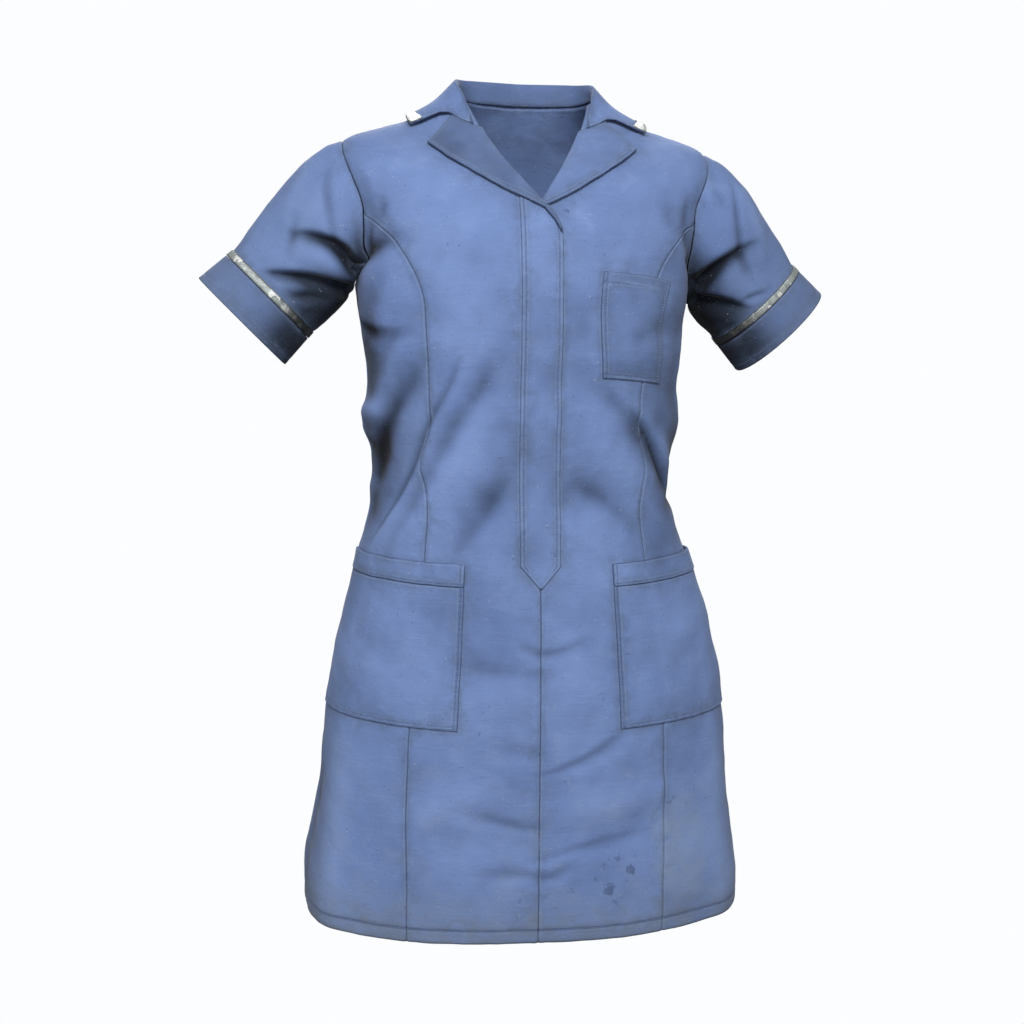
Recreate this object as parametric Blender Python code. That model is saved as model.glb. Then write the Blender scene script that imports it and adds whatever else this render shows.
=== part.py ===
"""Nurse's uniform dress in its worn, hollow form: short sleeves, notched collar and hip pockets.

Metres, +Z up. The wearer faces -Y and the wearer's left is +X. The origin is the middle of the neck
at the height of the shoulders that carry the dress. Heights in the tables are counted from the hem.

The bodice and skirt are one surface of closed rings. A ring is named by its height at the centre front,
and the angle round it runs from 0 at the centre front over 90 degrees at the wearer's left side to 180
at the centre back. Above the underarm the rings climb over the shoulders to the neck. Each cloth piece
is a patch of that surface given a wall, and what is sewn on top is made from the same points, moved out.
"""
import math

import bpy
import numpy as np

# ---- Driving dimensions ---------------------------------------------------------------------------
SHOULDER_HEIGHT = 0.880      # hem to the shoulders that carry the dress
WALL = 0.0014                # one layer of polycotton twill
DOUBLE_WALL = 0.0024         # a cuff or a turned hem: two layers pressed together
SEAM_GAP = 0.0003            # between pieces that are sewn edge to edge
LAYER_GAP = 0.0004           # between a piece and the cloth it lies on
ROW_STEP = 0.034             # longest facet down the body
HEM_DEPTH = 0.015            # turned up inside the skirt
SIDE_ANGLE = math.pi / 2     # the side seam and, over the shoulder, the shoulder seam

HIP_POCKET_FOOT = 0.229      # these are ring heights, as at the centre front
WELT_FOOT = 0.381            # the placket's point is here too
HIP_POCKET_TOP = 0.405       # and its straight edges end here
CHEST_POCKET_FOOT = 0.603
UNDERARM = 0.712             # the chest pocket's top is here too
SHOULDER_TIP = 0.8045
LAPEL_POINT = 0.823
GORGE = 0.855                # where the lapel is sewn to the collar
NECK = 0.872

ARMHOLE_FRONT = math.radians(24)        # how far the armhole opens round the body from the side
ARMHOLE_BACK = math.radians(25)
ARMHOLE_STEPS = 8            # facets from the underarm to the shoulder tip
PRINCESS_STEP = 4            # step of the armhole where the princess seam runs out
V_STEP = 5                   # step of the armhole that is level with the point of the V neck
PANEL_TIP = 0.004            # width of the side front where it runs out
PLACKET_TIP = 0.002          # width of the placket's point

CUFF_CENTRE = (0.308, 0.020, 0.658)     # middle of the cuff's opening, from the hem's level
CUFF_HALF_HEIGHT = 0.0635
CUFF_HALF_DEPTH = 0.054
CUFF_WIDTH = 0.039
CUFF_FLARE = 0.003           # the cuff's foot stands out this far past its head
ARM_SLOPE = math.radians(45)            # how far the arm hangs down from level
SLEEVE_LENGTH = 0.150        # armhole to cuff, halfway up the front
SLEEVE_GIRTH = 0.400
SLEEVE_COURSE = np.array((0.71, 0.0, -0.70))     # the way the sleeve runs, out and down
SLEEVE_CROWN = np.array((0.19, 0.0, 0.40))       # added as its top leaves the armhole, less underneath
SLEEVE_CLOSING = np.array((0.0, 0.25, 0.0))      # taken off as its front leaves the armhole, added behind
SLEEVE_DROP = np.array((-0.10, 0.0, -0.10))      # added as its top meets the cuff, less underneath
BRAID_WIDTH = 0.0085
BRAID_WALL = 0.0011

COLLAR_STEPS = 11            # facets from each front end of the collar to the centre back
FOLD_THICKNESS = 0.0034      # stand to fall at the fold line
LAPEL_LIFT = 0.0022          # how far the lapel's free edge stands off the front
FALL_LIFT = 0.0030           # the same for the collar's edge

# Facets across the front between its guide lines: edge, placket or lapel edge, pocket line, princess
# seam, chest pocket's outer line, side seam.
CENTRE_CELLS = (2, 2, 1)
SIDE_CELLS = (1, 4)
BACK_CELLS = 10              # from each side seam to the centre back
LEAST_ANGLE = 0.012          # between two guide lines
FOLD_END = 0.12              # how far into its half wave a fold starts, so that it hasn't quite faded out


def table(names, *rows):
    """A table of numbers as a dictionary of named columns."""
    return dict(zip(names.split(), np.array(rows, float).T))


# Rings round the body: side and back are the ring's heights there, mid is how far behind the origin its
# widest point lies, and power is 2 for an ellipse and more for a squarer ring.
RINGS = table(
    "front_height side_height back_height half_width front_depth back_depth mid power",
    (0.0000, 0.000, 0.000, 0.254, 0.147, 0.152, 0.010, 2.35),
    (0.0350, 0.035, 0.035, 0.254, 0.147, 0.152, 0.010, 2.30),
    (0.1200, 0.121, 0.120, 0.241, 0.143, 0.148, 0.010, 2.15),
    (0.2290, 0.231, 0.229, 0.228, 0.140, 0.145, 0.010, 2.05),
    (0.3200, 0.323, 0.320, 0.211, 0.135, 0.140, 0.009, 2.00),
    (0.4050, 0.409, 0.405, 0.185, 0.129, 0.126, 0.007, 2.00),
    (0.4600, 0.462, 0.460, 0.170, 0.123, 0.112, 0.004, 2.05),
    (0.5100, 0.508, 0.510, 0.167, 0.119, 0.105, 0.002, 2.10),
    (0.5550, 0.548, 0.553, 0.174, 0.120, 0.104, 0.002, 2.15),
    (0.6030, 0.592, 0.600, 0.171, 0.123, 0.106, 0.002, 2.20),
    (0.6500, 0.638, 0.648, 0.176, 0.128, 0.111, 0.002, 2.30),
    (0.7120, 0.700, 0.712, 0.184, 0.127, 0.112, 0.002, 2.25),
    (0.7500, 0.775, 0.775, 0.195, 0.122, 0.106, 0.003, 2.10),
    (0.8045, 0.852, 0.843, 0.198, 0.100, 0.084, 0.006, 2.00),
    (0.8400, 0.877, 0.878, 0.130, 0.066, 0.062, 0.009, 2.00),
    (0.8720, 0.904, 0.905, 0.072, 0.040, 0.042, 0.010, 2.00),
)

# The placket's edge and, above the V neck, the lapel's: its distance from the centre front at each ring.
LAPEL_EDGE = table("ring x", (0.000, 0.0215), (0.776, 0.0215), (0.789, 0.026), (SHOULDER_TIP, 0.059),
                   (LAPEL_POINT, 0.112), (GORGE, 0.083), (NECK, 0.078))

# Lines down the front, as the distance from the centre front at each height.
ROLL_LINE = table("height x", (0.776, 0.000), (0.797, 0.014), (0.820, 0.030), (0.850, 0.047),
                  (0.880, 0.060), (0.905, 0.069))
POCKET_LINE = table("height x", (0.000, 0.094), (0.229, 0.087), (0.405, 0.078), (0.500, 0.072),
                    (0.597, 0.066), (0.715, 0.066), (0.780, 0.090), (0.850, 0.135), (0.905, 0.082))
PRINCESS_LINE = table("height x", (0.000, 0.140), (0.223, 0.138), (0.330, 0.129), (0.420, 0.118),
                      (0.470, 0.114), (0.505, 0.121), (0.555, 0.113), (0.600, 0.114), (0.650, 0.117),
                      (0.685, 0.120), (0.705, 0.127), (0.726, 0.138), (0.747, 0.154), (0.773, 0.182))
POCKET_OUTER_LINE = table("height x", (0.000, 0.205), (0.229, 0.188), (0.405, 0.154), (0.510, 0.142),
                          (0.594, 0.137), (0.703, 0.144), (0.750, 0.168), (0.800, 0.240))

# The largest folds of the bodice and skirt: where each starts and ends, as an angle in degrees and a
# height, how far it stands out or in, and how wide it is to either side.
FOLDS = table(
    "angle height end_angle end_height rise width",
    (-80, 0.690, -42, 0.760, -0.005, 0.013),
    (-66, 0.640, -50, 0.728, 0.004, 0.014),
    (-38, 0.600, -84, 0.440, -0.006, 0.016),
    (-22, 0.590, -78, 0.418, 0.005, 0.018),
    (-10, 0.520, -44, 0.405, -0.005, 0.018),
    (-88, 0.545, -62, 0.560, 0.005, 0.012),
    (-90, 0.520, -66, 0.500, -0.005, 0.012),
    (80, 0.700, 60, 0.756, -0.005, 0.013),
    (36, 0.560, 74, 0.480, -0.005, 0.015),
    (16, 0.470, 56, 0.425, 0.005, 0.017),
    (70, 0.640, 86, 0.500, 0.004, 0.016),
    (2, 0.175, 38, 0.215, -0.005, 0.018),
    (2, 0.085, 44, 0.118, 0.004, 0.020),
    (-8, 0.190, -34, 0.130, 0.004, 0.020),
    (-60, 0.020, -66, 0.210, 0.006, 0.030),
    (58, 0.020, 62, 0.200, 0.006, 0.030),
    (112, 0.470, 168, 0.520, -0.006, 0.016),
    (104, 0.515, 150, 0.575, 0.005, 0.018),
    (-108, 0.500, -160, 0.455, -0.006, 0.017),
    (-100, 0.545, -146, 0.490, 0.005, 0.018),
    (106, 0.700, 140, 0.770, -0.005, 0.015),
    (-104, 0.700, -136, 0.780, -0.005, 0.015),
    (150, 0.020, 158, 0.300, 0.007, 0.032),
    (-128, 0.020, -134, 0.280, 0.007, 0.032),
)

# The sleeves' folds: the side they are on, then the same with a turn round the sleeve (0 on top, a
# quarter in front, a half underneath) and a share of the way from the armhole to the cuff.
SLEEVE_FOLDS = table(
    "side turn along end_turn end_along rise width",
    (-1, 0.40, 0.02, 0.20, 0.42, -0.007, 0.012),
    (-1, 0.44, 0.10, 0.24, 0.82, -0.008, 0.013),
    (-1, 0.12, 0.22, 0.20, 0.60, 0.004, 0.014),
    (-1, 0.62, 0.05, 0.78, 0.55, -0.007, 0.013),
    (1, 0.40, 0.05, 0.22, 0.55, -0.008, 0.013),
    (1, 0.14, 0.25, 0.22, 0.85, 0.004, 0.013),
    (1, 0.60, 0.05, 0.80, 0.50, -0.007, 0.013),
)
SLEEVE_RINGS = (0.0, 0.10, 0.22, 0.35, 0.50, 0.66, 0.83, 1.0)

# The collar from its front end (turn 0) to the centre back (turn 1): its fold line, the height of the
# stand under the fold, and where the fall passes over the bodice and ends on it, as angle and ring.
COLLAR = table(
    "turn fold_x fold_y fold_height stand mid_angle mid_ring mid_lift edge_angle edge_ring",
    (0.00, 0.0615, -0.0320, 0.8735, 0.0020, 60, 0.8560, 0.0036, 63, 0.8335),
    (0.12, 0.0675, -0.0230, 0.8915, 0.0040, 68, 0.8550, 0.0045, 70, 0.8360),
    (0.26, 0.0720, -0.0100, 0.9085, 0.0090, 78, 0.8550, 0.0050, 79, 0.8390),
    (0.42, 0.0755, 0.0100, 0.9225, 0.0155, 90, 0.8550, 0.0050, 90, 0.8410),
    (0.70, 0.0580, 0.0440, 0.9310, 0.0230, 126, 0.8550, 0.0060, 124, 0.8380),
    (1.00, 0.0000, 0.0570, 0.9330, 0.0250, 180, 0.8550, 0.0080, 180, 0.8350),
)

# The wearer's stance, by height: how many degrees it turns the dress about the line of its closure,
# which lies ahead of the origin, and how far it shifts it sideways.
STANCE = table(
    "height turn shift",
    (0.000, -0.8, 0.0010),
    (0.360, -1.0, 0.0005),
    (0.450, 0.9, -0.0010),
    (0.600, 1.7, -0.0020),
    (0.700, 1.2, -0.0030),
    (0.780, 0.3, -0.0040),
    (0.940, 0.0, -0.0050),
)
CLOSURE_AHEAD = 0.125

COLOURS = {                  # base colour and roughness
    "twill": ((0.140, 0.225, 0.480, 1.0), 0.85),
    "braid": ((0.520, 0.560, 0.560, 1.0), 0.45),
}


# ---- Curves and surfaces --------------------------------------------------------------------------
def smooth(at, knots, values):
    """The value at one place on a smooth curve through the knots."""
    slopes = np.gradient(values, knots)
    i = int(np.clip(np.searchsorted(knots, at) - 1, 0, len(knots) - 2))
    step = knots[i + 1] - knots[i]
    t = min(max((at - knots[i]) / step, 0.0), 1.0)
    start = (1 + 2 * t) * (1 - t) ** 2 * values[i] + t * (1 - t) ** 2 * step * slopes[i]
    end = t * t * (3 - 2 * t) * values[i + 1] + t * t * (t - 1) * step * slopes[i + 1]
    return start + end


def row_at(columns, key, at):
    """All of a table's columns at one value of its key column."""
    return {name: smooth(at, columns[key], values) for name, values in columns.items()}


def signed_power(value, power):
    return math.copysign(abs(value) ** power, value)


def unit(vectors):
    return vectors / np.linalg.norm(vectors, axis=-1, keepdims=True)


def plain_point(height, angle):
    """A point of the body surface before its folds."""
    ring = row_at(RINGS, "front_height", height)
    across, ahead = math.sin(angle), math.cos(angle)
    power = 2 / ring["power"]
    depth = ring["front_depth"] if ahead > 0 else ring["back_depth"]
    middle_height = height if ahead > 0 else ring["back_height"]
    from_hem = ring["side_height"] + (middle_height - ring["side_height"]) * ahead ** 2
    return np.array((ring["half_width"] * signed_power(across, power),
                     ring["mid"] - depth * signed_power(ahead, power),
                     from_hem - SHOULDER_HEIGHT))


def fold_rise(place, folds):
    """How far out the folds move a point, given as metres along the surface's two directions.

    Each fold has its start and end in the same metres, its rise and its width, and fades at both ends.
    """
    total = 0.0
    for start, end, rise, width in folds:
        run = end - start
        share = float(np.clip((place - start) @ run / (run @ run), 0.0, 1.0))
        distance = np.linalg.norm(place - start - share * run)
        strength = math.sin(math.pi * (FOLD_END + (1 - 2 * FOLD_END) * share))
        total += rise * strength * math.exp(-(distance / width) ** 2)
    return total


def fold_list(starts, ends, rises, widths):
    return list(zip(np.transpose(starts), np.transpose(ends), rises, widths))


def surface(height, angle):
    """A point of the body surface with its folds, and the outward normal there."""
    step = 0.004
    low = min(height, NECK - step)
    point = plain_point(low, angle)
    normal = unit(np.cross(plain_point(low, angle + step) - point, plain_point(low + step, angle) - point))
    point = plain_point(height, angle)
    ring = row_at(RINGS, "front_height", height)
    radius = (ring["half_width"] + ring["front_depth"]) / 2
    turn = (angle + math.pi) % (2 * math.pi) - math.pi
    folds = fold_list((np.radians(FOLDS["angle"]) * radius, FOLDS["height"]),
                      (np.radians(FOLDS["end_angle"]) * radius, FOLDS["end_height"]),
                      FOLDS["rise"], FOLDS["width"])
    place = np.array((turn * radius, point[2] + SHOULDER_HEIGHT))
    return point + fold_rise(place, folds) * normal, normal


def across_angle(height, x):
    """The angle at which a ring is a distance x from the centre front."""
    ring = row_at(RINGS, "front_height", height)
    return math.asin(min(x / ring["half_width"], 1.0) ** (ring["power"] / 2))


def line_angle(line, height):
    """The angle at which a ring crosses a line down the front."""
    angle = 0.5
    for _ in range(12):
        z = plain_point(height, angle)[2] + SHOULDER_HEIGHT
        angle = across_angle(height, max(smooth(z, line["height"], line["x"]), 0.0))
    return angle


def stood(points):
    """Points after the stance has turned and shifted them."""
    stances = [row_at(STANCE, "height", z + SHOULDER_HEIGHT) for z in points[:, 2]]
    turn = np.radians([stance["turn"] for stance in stances])
    shift = np.array([stance["shift"] for stance in stances])
    x, y = points[:, 0], points[:, 1] + CLOSURE_AHEAD
    return np.column_stack((x * np.cos(turn) - y * np.sin(turn) + shift,
                            x * np.sin(turn) + y * np.cos(turn) - CLOSURE_AHEAD, points[:, 2]))


# ---- Rows and columns of the body -----------------------------------------------------------------
def filled(heights):
    """Heights in order, with more between them wherever they are further apart than a row's step."""
    rows = [heights[0]]
    for low, high in zip(heights, heights[1:]):
        count = max(1, math.ceil((high - low) / ROW_STEP - 1e-6))
        rows += [low + (high - low) * i / count for i in range(1, count)] + [high]
    return rows


ARMHOLE_TURNS = [math.pi * i / ARMHOLE_STEPS for i in range(1, ARMHOLE_STEPS + 1)]
ROWS = filled([0.0, HEM_DEPTH, HIP_POCKET_FOOT, WELT_FOOT, HIP_POCKET_TOP, CHEST_POCKET_FOOT, UNDERARM])
UNDERARM_ROW = len(ROWS) - 1
TIP_ROW = UNDERARM_ROW + ARMHOLE_STEPS
ROWS += [UNDERARM + (SHOULDER_TIP - UNDERARM) * (1 - math.cos(turn)) / 2 for turn in ARMHOLE_TURNS]
ROWS += [LAPEL_POINT, (LAPEL_POINT + GORGE) / 2, GORGE, NECK]
MEETING_ROW = UNDERARM_ROW + PRINCESS_STEP
V_ROW = UNDERARM_ROW + V_STEP


def opening(row):
    """How far open the armhole is at a row, from 0 at its foot and its top to 1 half-way."""
    return math.sin(ARMHOLE_TURNS[row - UNDERARM_ROW - 1]) if UNDERARM_ROW < row < TIP_ROW else 0.0


def ordered(guides):
    """Guide angles kept in order and a little apart, between the first and the last."""
    last = len(guides) - 1
    for i in range(1, last):
        highest = guides[last] - (last - i) * LEAST_ANGLE
        guides[i] = min(max(guides[i], guides[i - 1] + LEAST_ANGLE), highest)
    return guides


def spread(guides, cells):
    """Angles from guide to guide with an even number of cells in between."""
    angles = [guides[0]]
    for low, high, count in zip(guides, guides[1:], cells):
        angles += [low + (high - low) * i / count for i in range(1, count + 1)]
    return angles


def front_angles(row):
    """The angles of a row's columns on the centre front, and on the side front where it reaches."""
    height = ROWS[row]
    side = SIDE_ANGLE - ARMHOLE_FRONT * opening(row)
    edge = line_angle(ROLL_LINE, height) if row > V_ROW else 0.0
    seam = side
    if row < MEETING_ROW:
        seam = line_angle(PRINCESS_LINE, height)
    elif row == MEETING_ROW:
        seam = side - PANEL_TIP / row_at(RINGS, "front_height", height)["half_width"]
    lapel = across_angle(height, np.interp(height, LAPEL_EDGE["ring"], LAPEL_EDGE["x"]))
    centre = ordered([edge, lapel, line_angle(POCKET_LINE, height), seam])
    side_front = ordered([seam, line_angle(POCKET_OUTER_LINE, height), side])
    return spread(centre, CENTRE_CELLS), spread(side_front, SIDE_CELLS)


def back_angles(row):
    side = SIDE_ANGLE + ARMHOLE_BACK * opening(row)
    return spread([side, math.pi, 2 * math.pi - side], (BACK_CELLS, BACK_CELLS))


class Patch:
    """A grid of points on a cloth surface, row by row, with the outward normal at each."""

    def __init__(self, points, normals):
        self.points = points
        self.normals = normals

    def part(self, rows, columns=slice(None)):
        return Patch(self.points[rows, columns], self.normals[rows, columns])

    def beside(self, other):
        """This patch and the next one round the body, which starts at this one's last column."""
        return Patch(np.concatenate((self.points, other.points[:, 1:]), axis=1),
                     np.concatenate((self.normals, other.normals[:, 1:]), axis=1))

    def out(self, distance):
        """The points moved out by a distance: one for all, one a column, or one a point."""
        return self.points + self.normals * np.broadcast_to(distance, self.points.shape[:2])[..., None]

    def inset(self, foot=0.0, top=0.0, start=0.0, end=0.0):
        """The patch with its edges drawn in, for a seam's gap."""
        points = self.points.copy()
        for edge, inner, gap in ((np.s_[0], np.s_[1], foot), (np.s_[-1], np.s_[-2], top),
                                 (np.s_[:, 0], np.s_[:, 1], start), (np.s_[:, -1], np.s_[:, -2], end)):
            points[edge] += unit(self.points[inner] - self.points[edge]) * gap
        return Patch(points, self.normals)

    def mirrored(self):
        """The patch on the other side of the body, with its columns turned about."""
        flip = np.array((-1.0, 1.0, 1.0))
        return Patch(self.points[:, ::-1] * flip, self.normals[:, ::-1] * flip)


def body_patch(rows_of_angles):
    """The body surface at each row's angles."""
    grid = [[surface(ROWS[row], angle) for angle in angles] for row, angles in enumerate(rows_of_angles)]
    return Patch(np.array([[point for point, _ in row] for row in grid]),
                 np.array([[normal for _, normal in row] for row in grid]))


def tube_patch(points):
    """A patch of points whose last column meets its first."""
    around = np.roll(points, -1, axis=1) - np.roll(points, 1, axis=1)
    return Patch(points, unit(np.cross(around, np.gradient(points, axis=0))))


def open_patch(points):
    return Patch(points, unit(np.cross(np.gradient(points, axis=1), np.gradient(points, axis=0))))


# ---- Solids ---------------------------------------------------------------------------------------
def material(name):
    """The material of one cloth, made when it is first asked for."""
    made = bpy.data.materials.get(name) or bpy.data.materials.new(name)
    made.use_nodes = True
    shader = made.node_tree.nodes["Principled BSDF"]
    colour, roughness = COLOURS[name]
    shader.inputs["Base Color"].default_value = colour
    shader.inputs["Roughness"].default_value = roughness
    shader.inputs["Metallic"].default_value = 0.0
    return made


def sheet_faces(rows, columns, tube, leftward):
    """The triangles of a grid of points; a cell's diagonal leans away from the centre front."""
    faces = []
    for row in range(rows - 1):
        for column in range(columns if tube else columns - 1):
            beside = (column + 1) % columns
            a, b = row * columns + column, row * columns + beside
            d, c = a + columns, b + columns
            faces += [(a, b, c), (a, c, d)] if leftward[row, column] else [(a, b, d), (b, c, d)]
    return faces


def wall(name, patch, below, above, cloth, tube=False):
    """A piece of cloth as a closed wall, from a distance below a patch to a distance above it."""
    outer, inner = patch.out(above), patch.out(below)
    rows, columns = outer.shape[:2]
    leftward = patch.points[..., 0] + np.roll(patch.points[..., 0], -1, axis=1) > 0
    sheet = sheet_faces(rows, columns, tube, leftward)
    count = rows * columns
    foot = list(range(columns))
    top = [count - columns + i for i in range(columns)]
    if tube:
        rims = [foot + foot[:1], (top + top[:1])[::-1]]
    else:
        start = list(range(0, count, columns))
        end = list(range(columns - 1, count, columns))
        rims = [foot + end[1:] + top[-2::-1] + start[-2::-1]]
    faces = sheet + [tuple(corner + count for corner in face[::-1]) for face in sheet]
    for rim in rims:
        for a, b in zip(rim, rim[1:]):
            faces += [(b, a, a + count), (b, a + count, b + count)]
    mesh = bpy.data.meshes.new(name)
    mesh.from_pydata(stood(np.concatenate((outer, inner)).reshape(-1, 3)).tolist(), [], faces)
    mesh.materials.append(material(cloth))
    bpy.context.collection.objects.link(bpy.data.objects.new(name, mesh))


def on_top(name, patch, thickness=WALL, lift=0.0, cloth="twill", tube=False):
    """A piece that lies on the cloth of a patch, raised a little more by lift."""
    below = WALL / 2 + LAYER_GAP + np.asarray(lift)
    wall(name, patch, below, below + thickness, cloth, tube)


# ---- The pieces -----------------------------------------------------------------------------------
def body_patches():
    """The two fronts of both sides and the back, as patches by name."""
    rows = range(len(ROWS))
    centre = [front_angles(row)[0] for row in rows]
    side_front = [front_angles(row)[1] for row in rows[:MEETING_ROW + 1]]
    patches = {"back": body_patch([back_angles(row) for row in rows])}
    for word, sign in (("left", 1), ("right", -1)):
        for name, angles in (("front_centre", centre), ("front_side", side_front)):
            turned = [[sign * angle for angle in row][::sign] for row in angles]
            patches[f"{name}_{word}"] = body_patch(turned)
    return patches


def build_body(patches):
    """The five panels, with the hem turned up inside them."""
    for name, panel in patches.items():
        below = np.full(panel.points.shape[:2], -WALL / 2)
        below[:2] = WALL / 2 - DOUBLE_WALL
        wall(name, panel.inset(start=SEAM_GAP / 2, end=SEAM_GAP / 2), below, WALL / 2, "twill")


def build_placket(patches):
    """The strip over the front's closure, which ends in a point."""
    cells = CENTRE_CELLS[0]
    rows = slice(ROWS.index(WELT_FOOT), V_ROW + 1)
    strip = patches["front_centre_right"].part(rows, slice(-cells - 1, None))
    strip = strip.beside(patches["front_centre_left"].part(rows, slice(None, cells + 1)))
    point = strip.points[0, cells]
    strip.points[0] = point + (strip.points[0] - point) * PLACKET_TIP / np.ptp(strip.points[0, :, 0])
    on_top("placket", strip.inset(top=SEAM_GAP))


def build_lapels(patches):
    """Each front's top edge, folded back along the roll line."""
    cells = CENTRE_CELLS[0]
    rows = slice(V_ROW, ROWS.index(GORGE) + 1)
    lift = np.linspace(0.0, LAPEL_LIFT, cells + 1)
    left = patches["front_centre_left"].part(rows, slice(None, cells + 1))
    right = patches["front_centre_right"].part(rows, slice(-cells - 1, None))
    on_top("lapel_left", left.inset(foot=SEAM_GAP, top=2 * SEAM_GAP, start=SEAM_GAP / 2), lift=lift)
    on_top("lapel_right", right.inset(foot=SEAM_GAP, top=2 * SEAM_GAP, end=SEAM_GAP / 2), lift=lift[::-1])


def build_pockets(patches):
    """A hip pocket with its welt on each side, caught in the side seam, and the left chest pocket."""
    inner = CENTRE_CELLS[0] + CENTRE_CELLS[1]
    foot, welt, top = (ROWS.index(height) for height in (HIP_POCKET_FOOT, WELT_FOOT, HIP_POCKET_TOP))
    for name, rows, thickness, gap in (("hip_pocket", slice(foot, welt + 1), WALL, 0.0),
                                       ("hip_welt", slice(welt, top + 1), DOUBLE_WALL, SEAM_GAP)):
        left = patches["front_centre_left"].part(rows, slice(inner, None))
        left = left.beside(patches["front_side_left"].part(rows))
        right = patches["front_side_right"].part(rows)
        right = right.beside(patches["front_centre_right"].part(rows, slice(None, -inner)))
        on_top(f"{name}_left", left.inset(foot=gap, end=SEAM_GAP), thickness)
        on_top(f"{name}_right", right.inset(foot=gap, start=SEAM_GAP), thickness)
    rows = slice(ROWS.index(CHEST_POCKET_FOOT), UNDERARM_ROW + 1)
    chest = patches["front_centre_left"].part(rows, slice(inner, None))
    chest = chest.beside(patches["front_side_left"].part(rows, slice(None, SIDE_CELLS[0] + 1)))
    on_top("chest_pocket", chest)


def armhole_loop(side):
    """The armhole's edge from the shoulder tip down the front and up the back, as if on the left."""
    loop = []
    for i in range(2 * ARMHOLE_STEPS):
        front = i < ARMHOLE_STEPS
        row = TIP_ROW - i if front else UNDERARM_ROW + i - ARMHOLE_STEPS
        angle = SIDE_ANGLE + (-ARMHOLE_FRONT if front else ARMHOLE_BACK) * opening(row)
        loop.append(surface(ROWS[row], side * angle)[0] * (side, 1, 1))
    return np.array(loop)


def cuff_ring(back, turns):
    """A ring of the sleeve's end at a distance back from the cuff's opening."""
    along = np.array((math.cos(ARM_SLOPE), 0.0, -math.sin(ARM_SLOPE)))
    upward = np.array((math.sin(ARM_SLOPE), 0.0, math.cos(ARM_SLOPE)))
    centre = np.array(CUFF_CENTRE) - (0, 0, SHOULDER_HEIGHT) - along * back
    narrower = CUFF_FLARE * back / CUFF_WIDTH
    return (centre + np.outer(np.cos(turns), upward) * (CUFF_HALF_HEIGHT - narrower)
            - np.outer(np.sin(turns), (0, 1, 0)) * (CUFF_HALF_DEPTH - narrower))


def sleeve_points(side, shares):
    """Rings of the sleeve from the armhole to the braid, without its folds."""
    loop = armhole_loop(side)
    turns = np.linspace(0, 2 * math.pi, len(loop), endpoint=False)
    up = np.cos(turns)[:, None]
    clearance = SEAM_GAP + (WALL + SEAM_GAP) * (1 - up) / 2
    loop = loop + clearance * (1, 0, 0)
    end = cuff_ring(CUFF_WIDTH + BRAID_WIDTH, turns)
    length = np.linalg.norm(end - loop, axis=1, keepdims=True)
    forward = np.sin(turns)[:, None]
    leaving = unit(SLEEVE_COURSE + up * SLEEVE_CROWN - forward * SLEEVE_CLOSING) * length
    arriving = unit(SLEEVE_COURSE + up * SLEEVE_DROP) * length
    rings = []
    for t in shares:
        rings.append((1 + 2 * t) * (1 - t) ** 2 * loop + t * (1 - t) ** 2 * leaving
                     + t * t * (3 - 2 * t) * end + t * t * (t - 1) * arriving)
    return np.array(rings), turns


def build_sleeve(word, side):
    """A set-in sleeve with its braid and its cuff."""
    rings, turns = sleeve_points(side, SLEEVE_RINGS)
    plain = tube_patch(rings)
    own = SLEEVE_FOLDS["side"] == side
    folds = {name: values[own] for name, values in SLEEVE_FOLDS.items()}
    folds = fold_list((folds["turn"] * SLEEVE_GIRTH, folds["along"] * SLEEVE_LENGTH),
                      (folds["end_turn"] * SLEEVE_GIRTH, folds["end_along"] * SLEEVE_LENGTH),
                      folds["rise"], folds["width"])
    for i, share in enumerate(SLEEVE_RINGS[1:-1], start=1):
        for j, turn in enumerate(turns / (2 * math.pi)):
            place = np.array((turn * SLEEVE_GIRTH, share * SLEEVE_LENGTH))
            rings[i, j] += plain.normals[i, j] * fold_rise(place, folds)
    head = cuff_ring(CUFF_WIDTH, turns)
    foot = cuff_ring(0.0, turns)
    sleeve = tube_patch(np.concatenate((rings, head[None])))
    cuff = tube_patch(np.array((head, (head + foot) / 2, foot)))
    braid = sleeve.part(slice(-2, None))
    if side < 0:
        sleeve, cuff, braid = sleeve.mirrored(), cuff.mirrored(), braid.mirrored()
    wall(f"sleeve_{word}", sleeve, -WALL / 2, WALL / 2, "twill", tube=True)
    cuff = cuff.inset(foot=2 * SEAM_GAP)
    wall(f"cuff_{word}", cuff, -WALL / 2, DOUBLE_WALL - WALL / 2, "twill", tube=True)
    on_top(f"sleeve_braid_{word}", braid, BRAID_WALL, cloth="braid", tube=True)


def collar_section(turn):
    """The collar's section on the left, from the fall's edge over the fold to the stand's foot."""
    row = row_at(COLLAR, "turn", turn)
    mid, mid_normal = surface(row["mid_ring"], math.radians(row["mid_angle"]))
    edge, edge_normal = surface(row["edge_ring"], math.radians(row["edge_angle"]))
    mid = mid + mid_normal * (WALL + LAYER_GAP + row["mid_lift"])
    edge = edge + edge_normal * (WALL + LAYER_GAP + FALL_LIFT)
    fold = np.array((row["fold_x"], row["fold_y"], row["fold_height"] - SHOULDER_HEIGHT))
    outward = unit((mid - fold) * (1, 1, 0)) * FOLD_THICKNESS
    drop = np.array((0, 0, FOLD_THICKNESS / 2))
    braid_head = edge + unit(mid - edge) * BRAID_WIDTH
    stand_foot = fold - (0, 0, row["stand"])
    return [edge, braid_head, mid, fold + outward - drop, fold + outward / 2, fold - drop, stand_foot]


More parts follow.
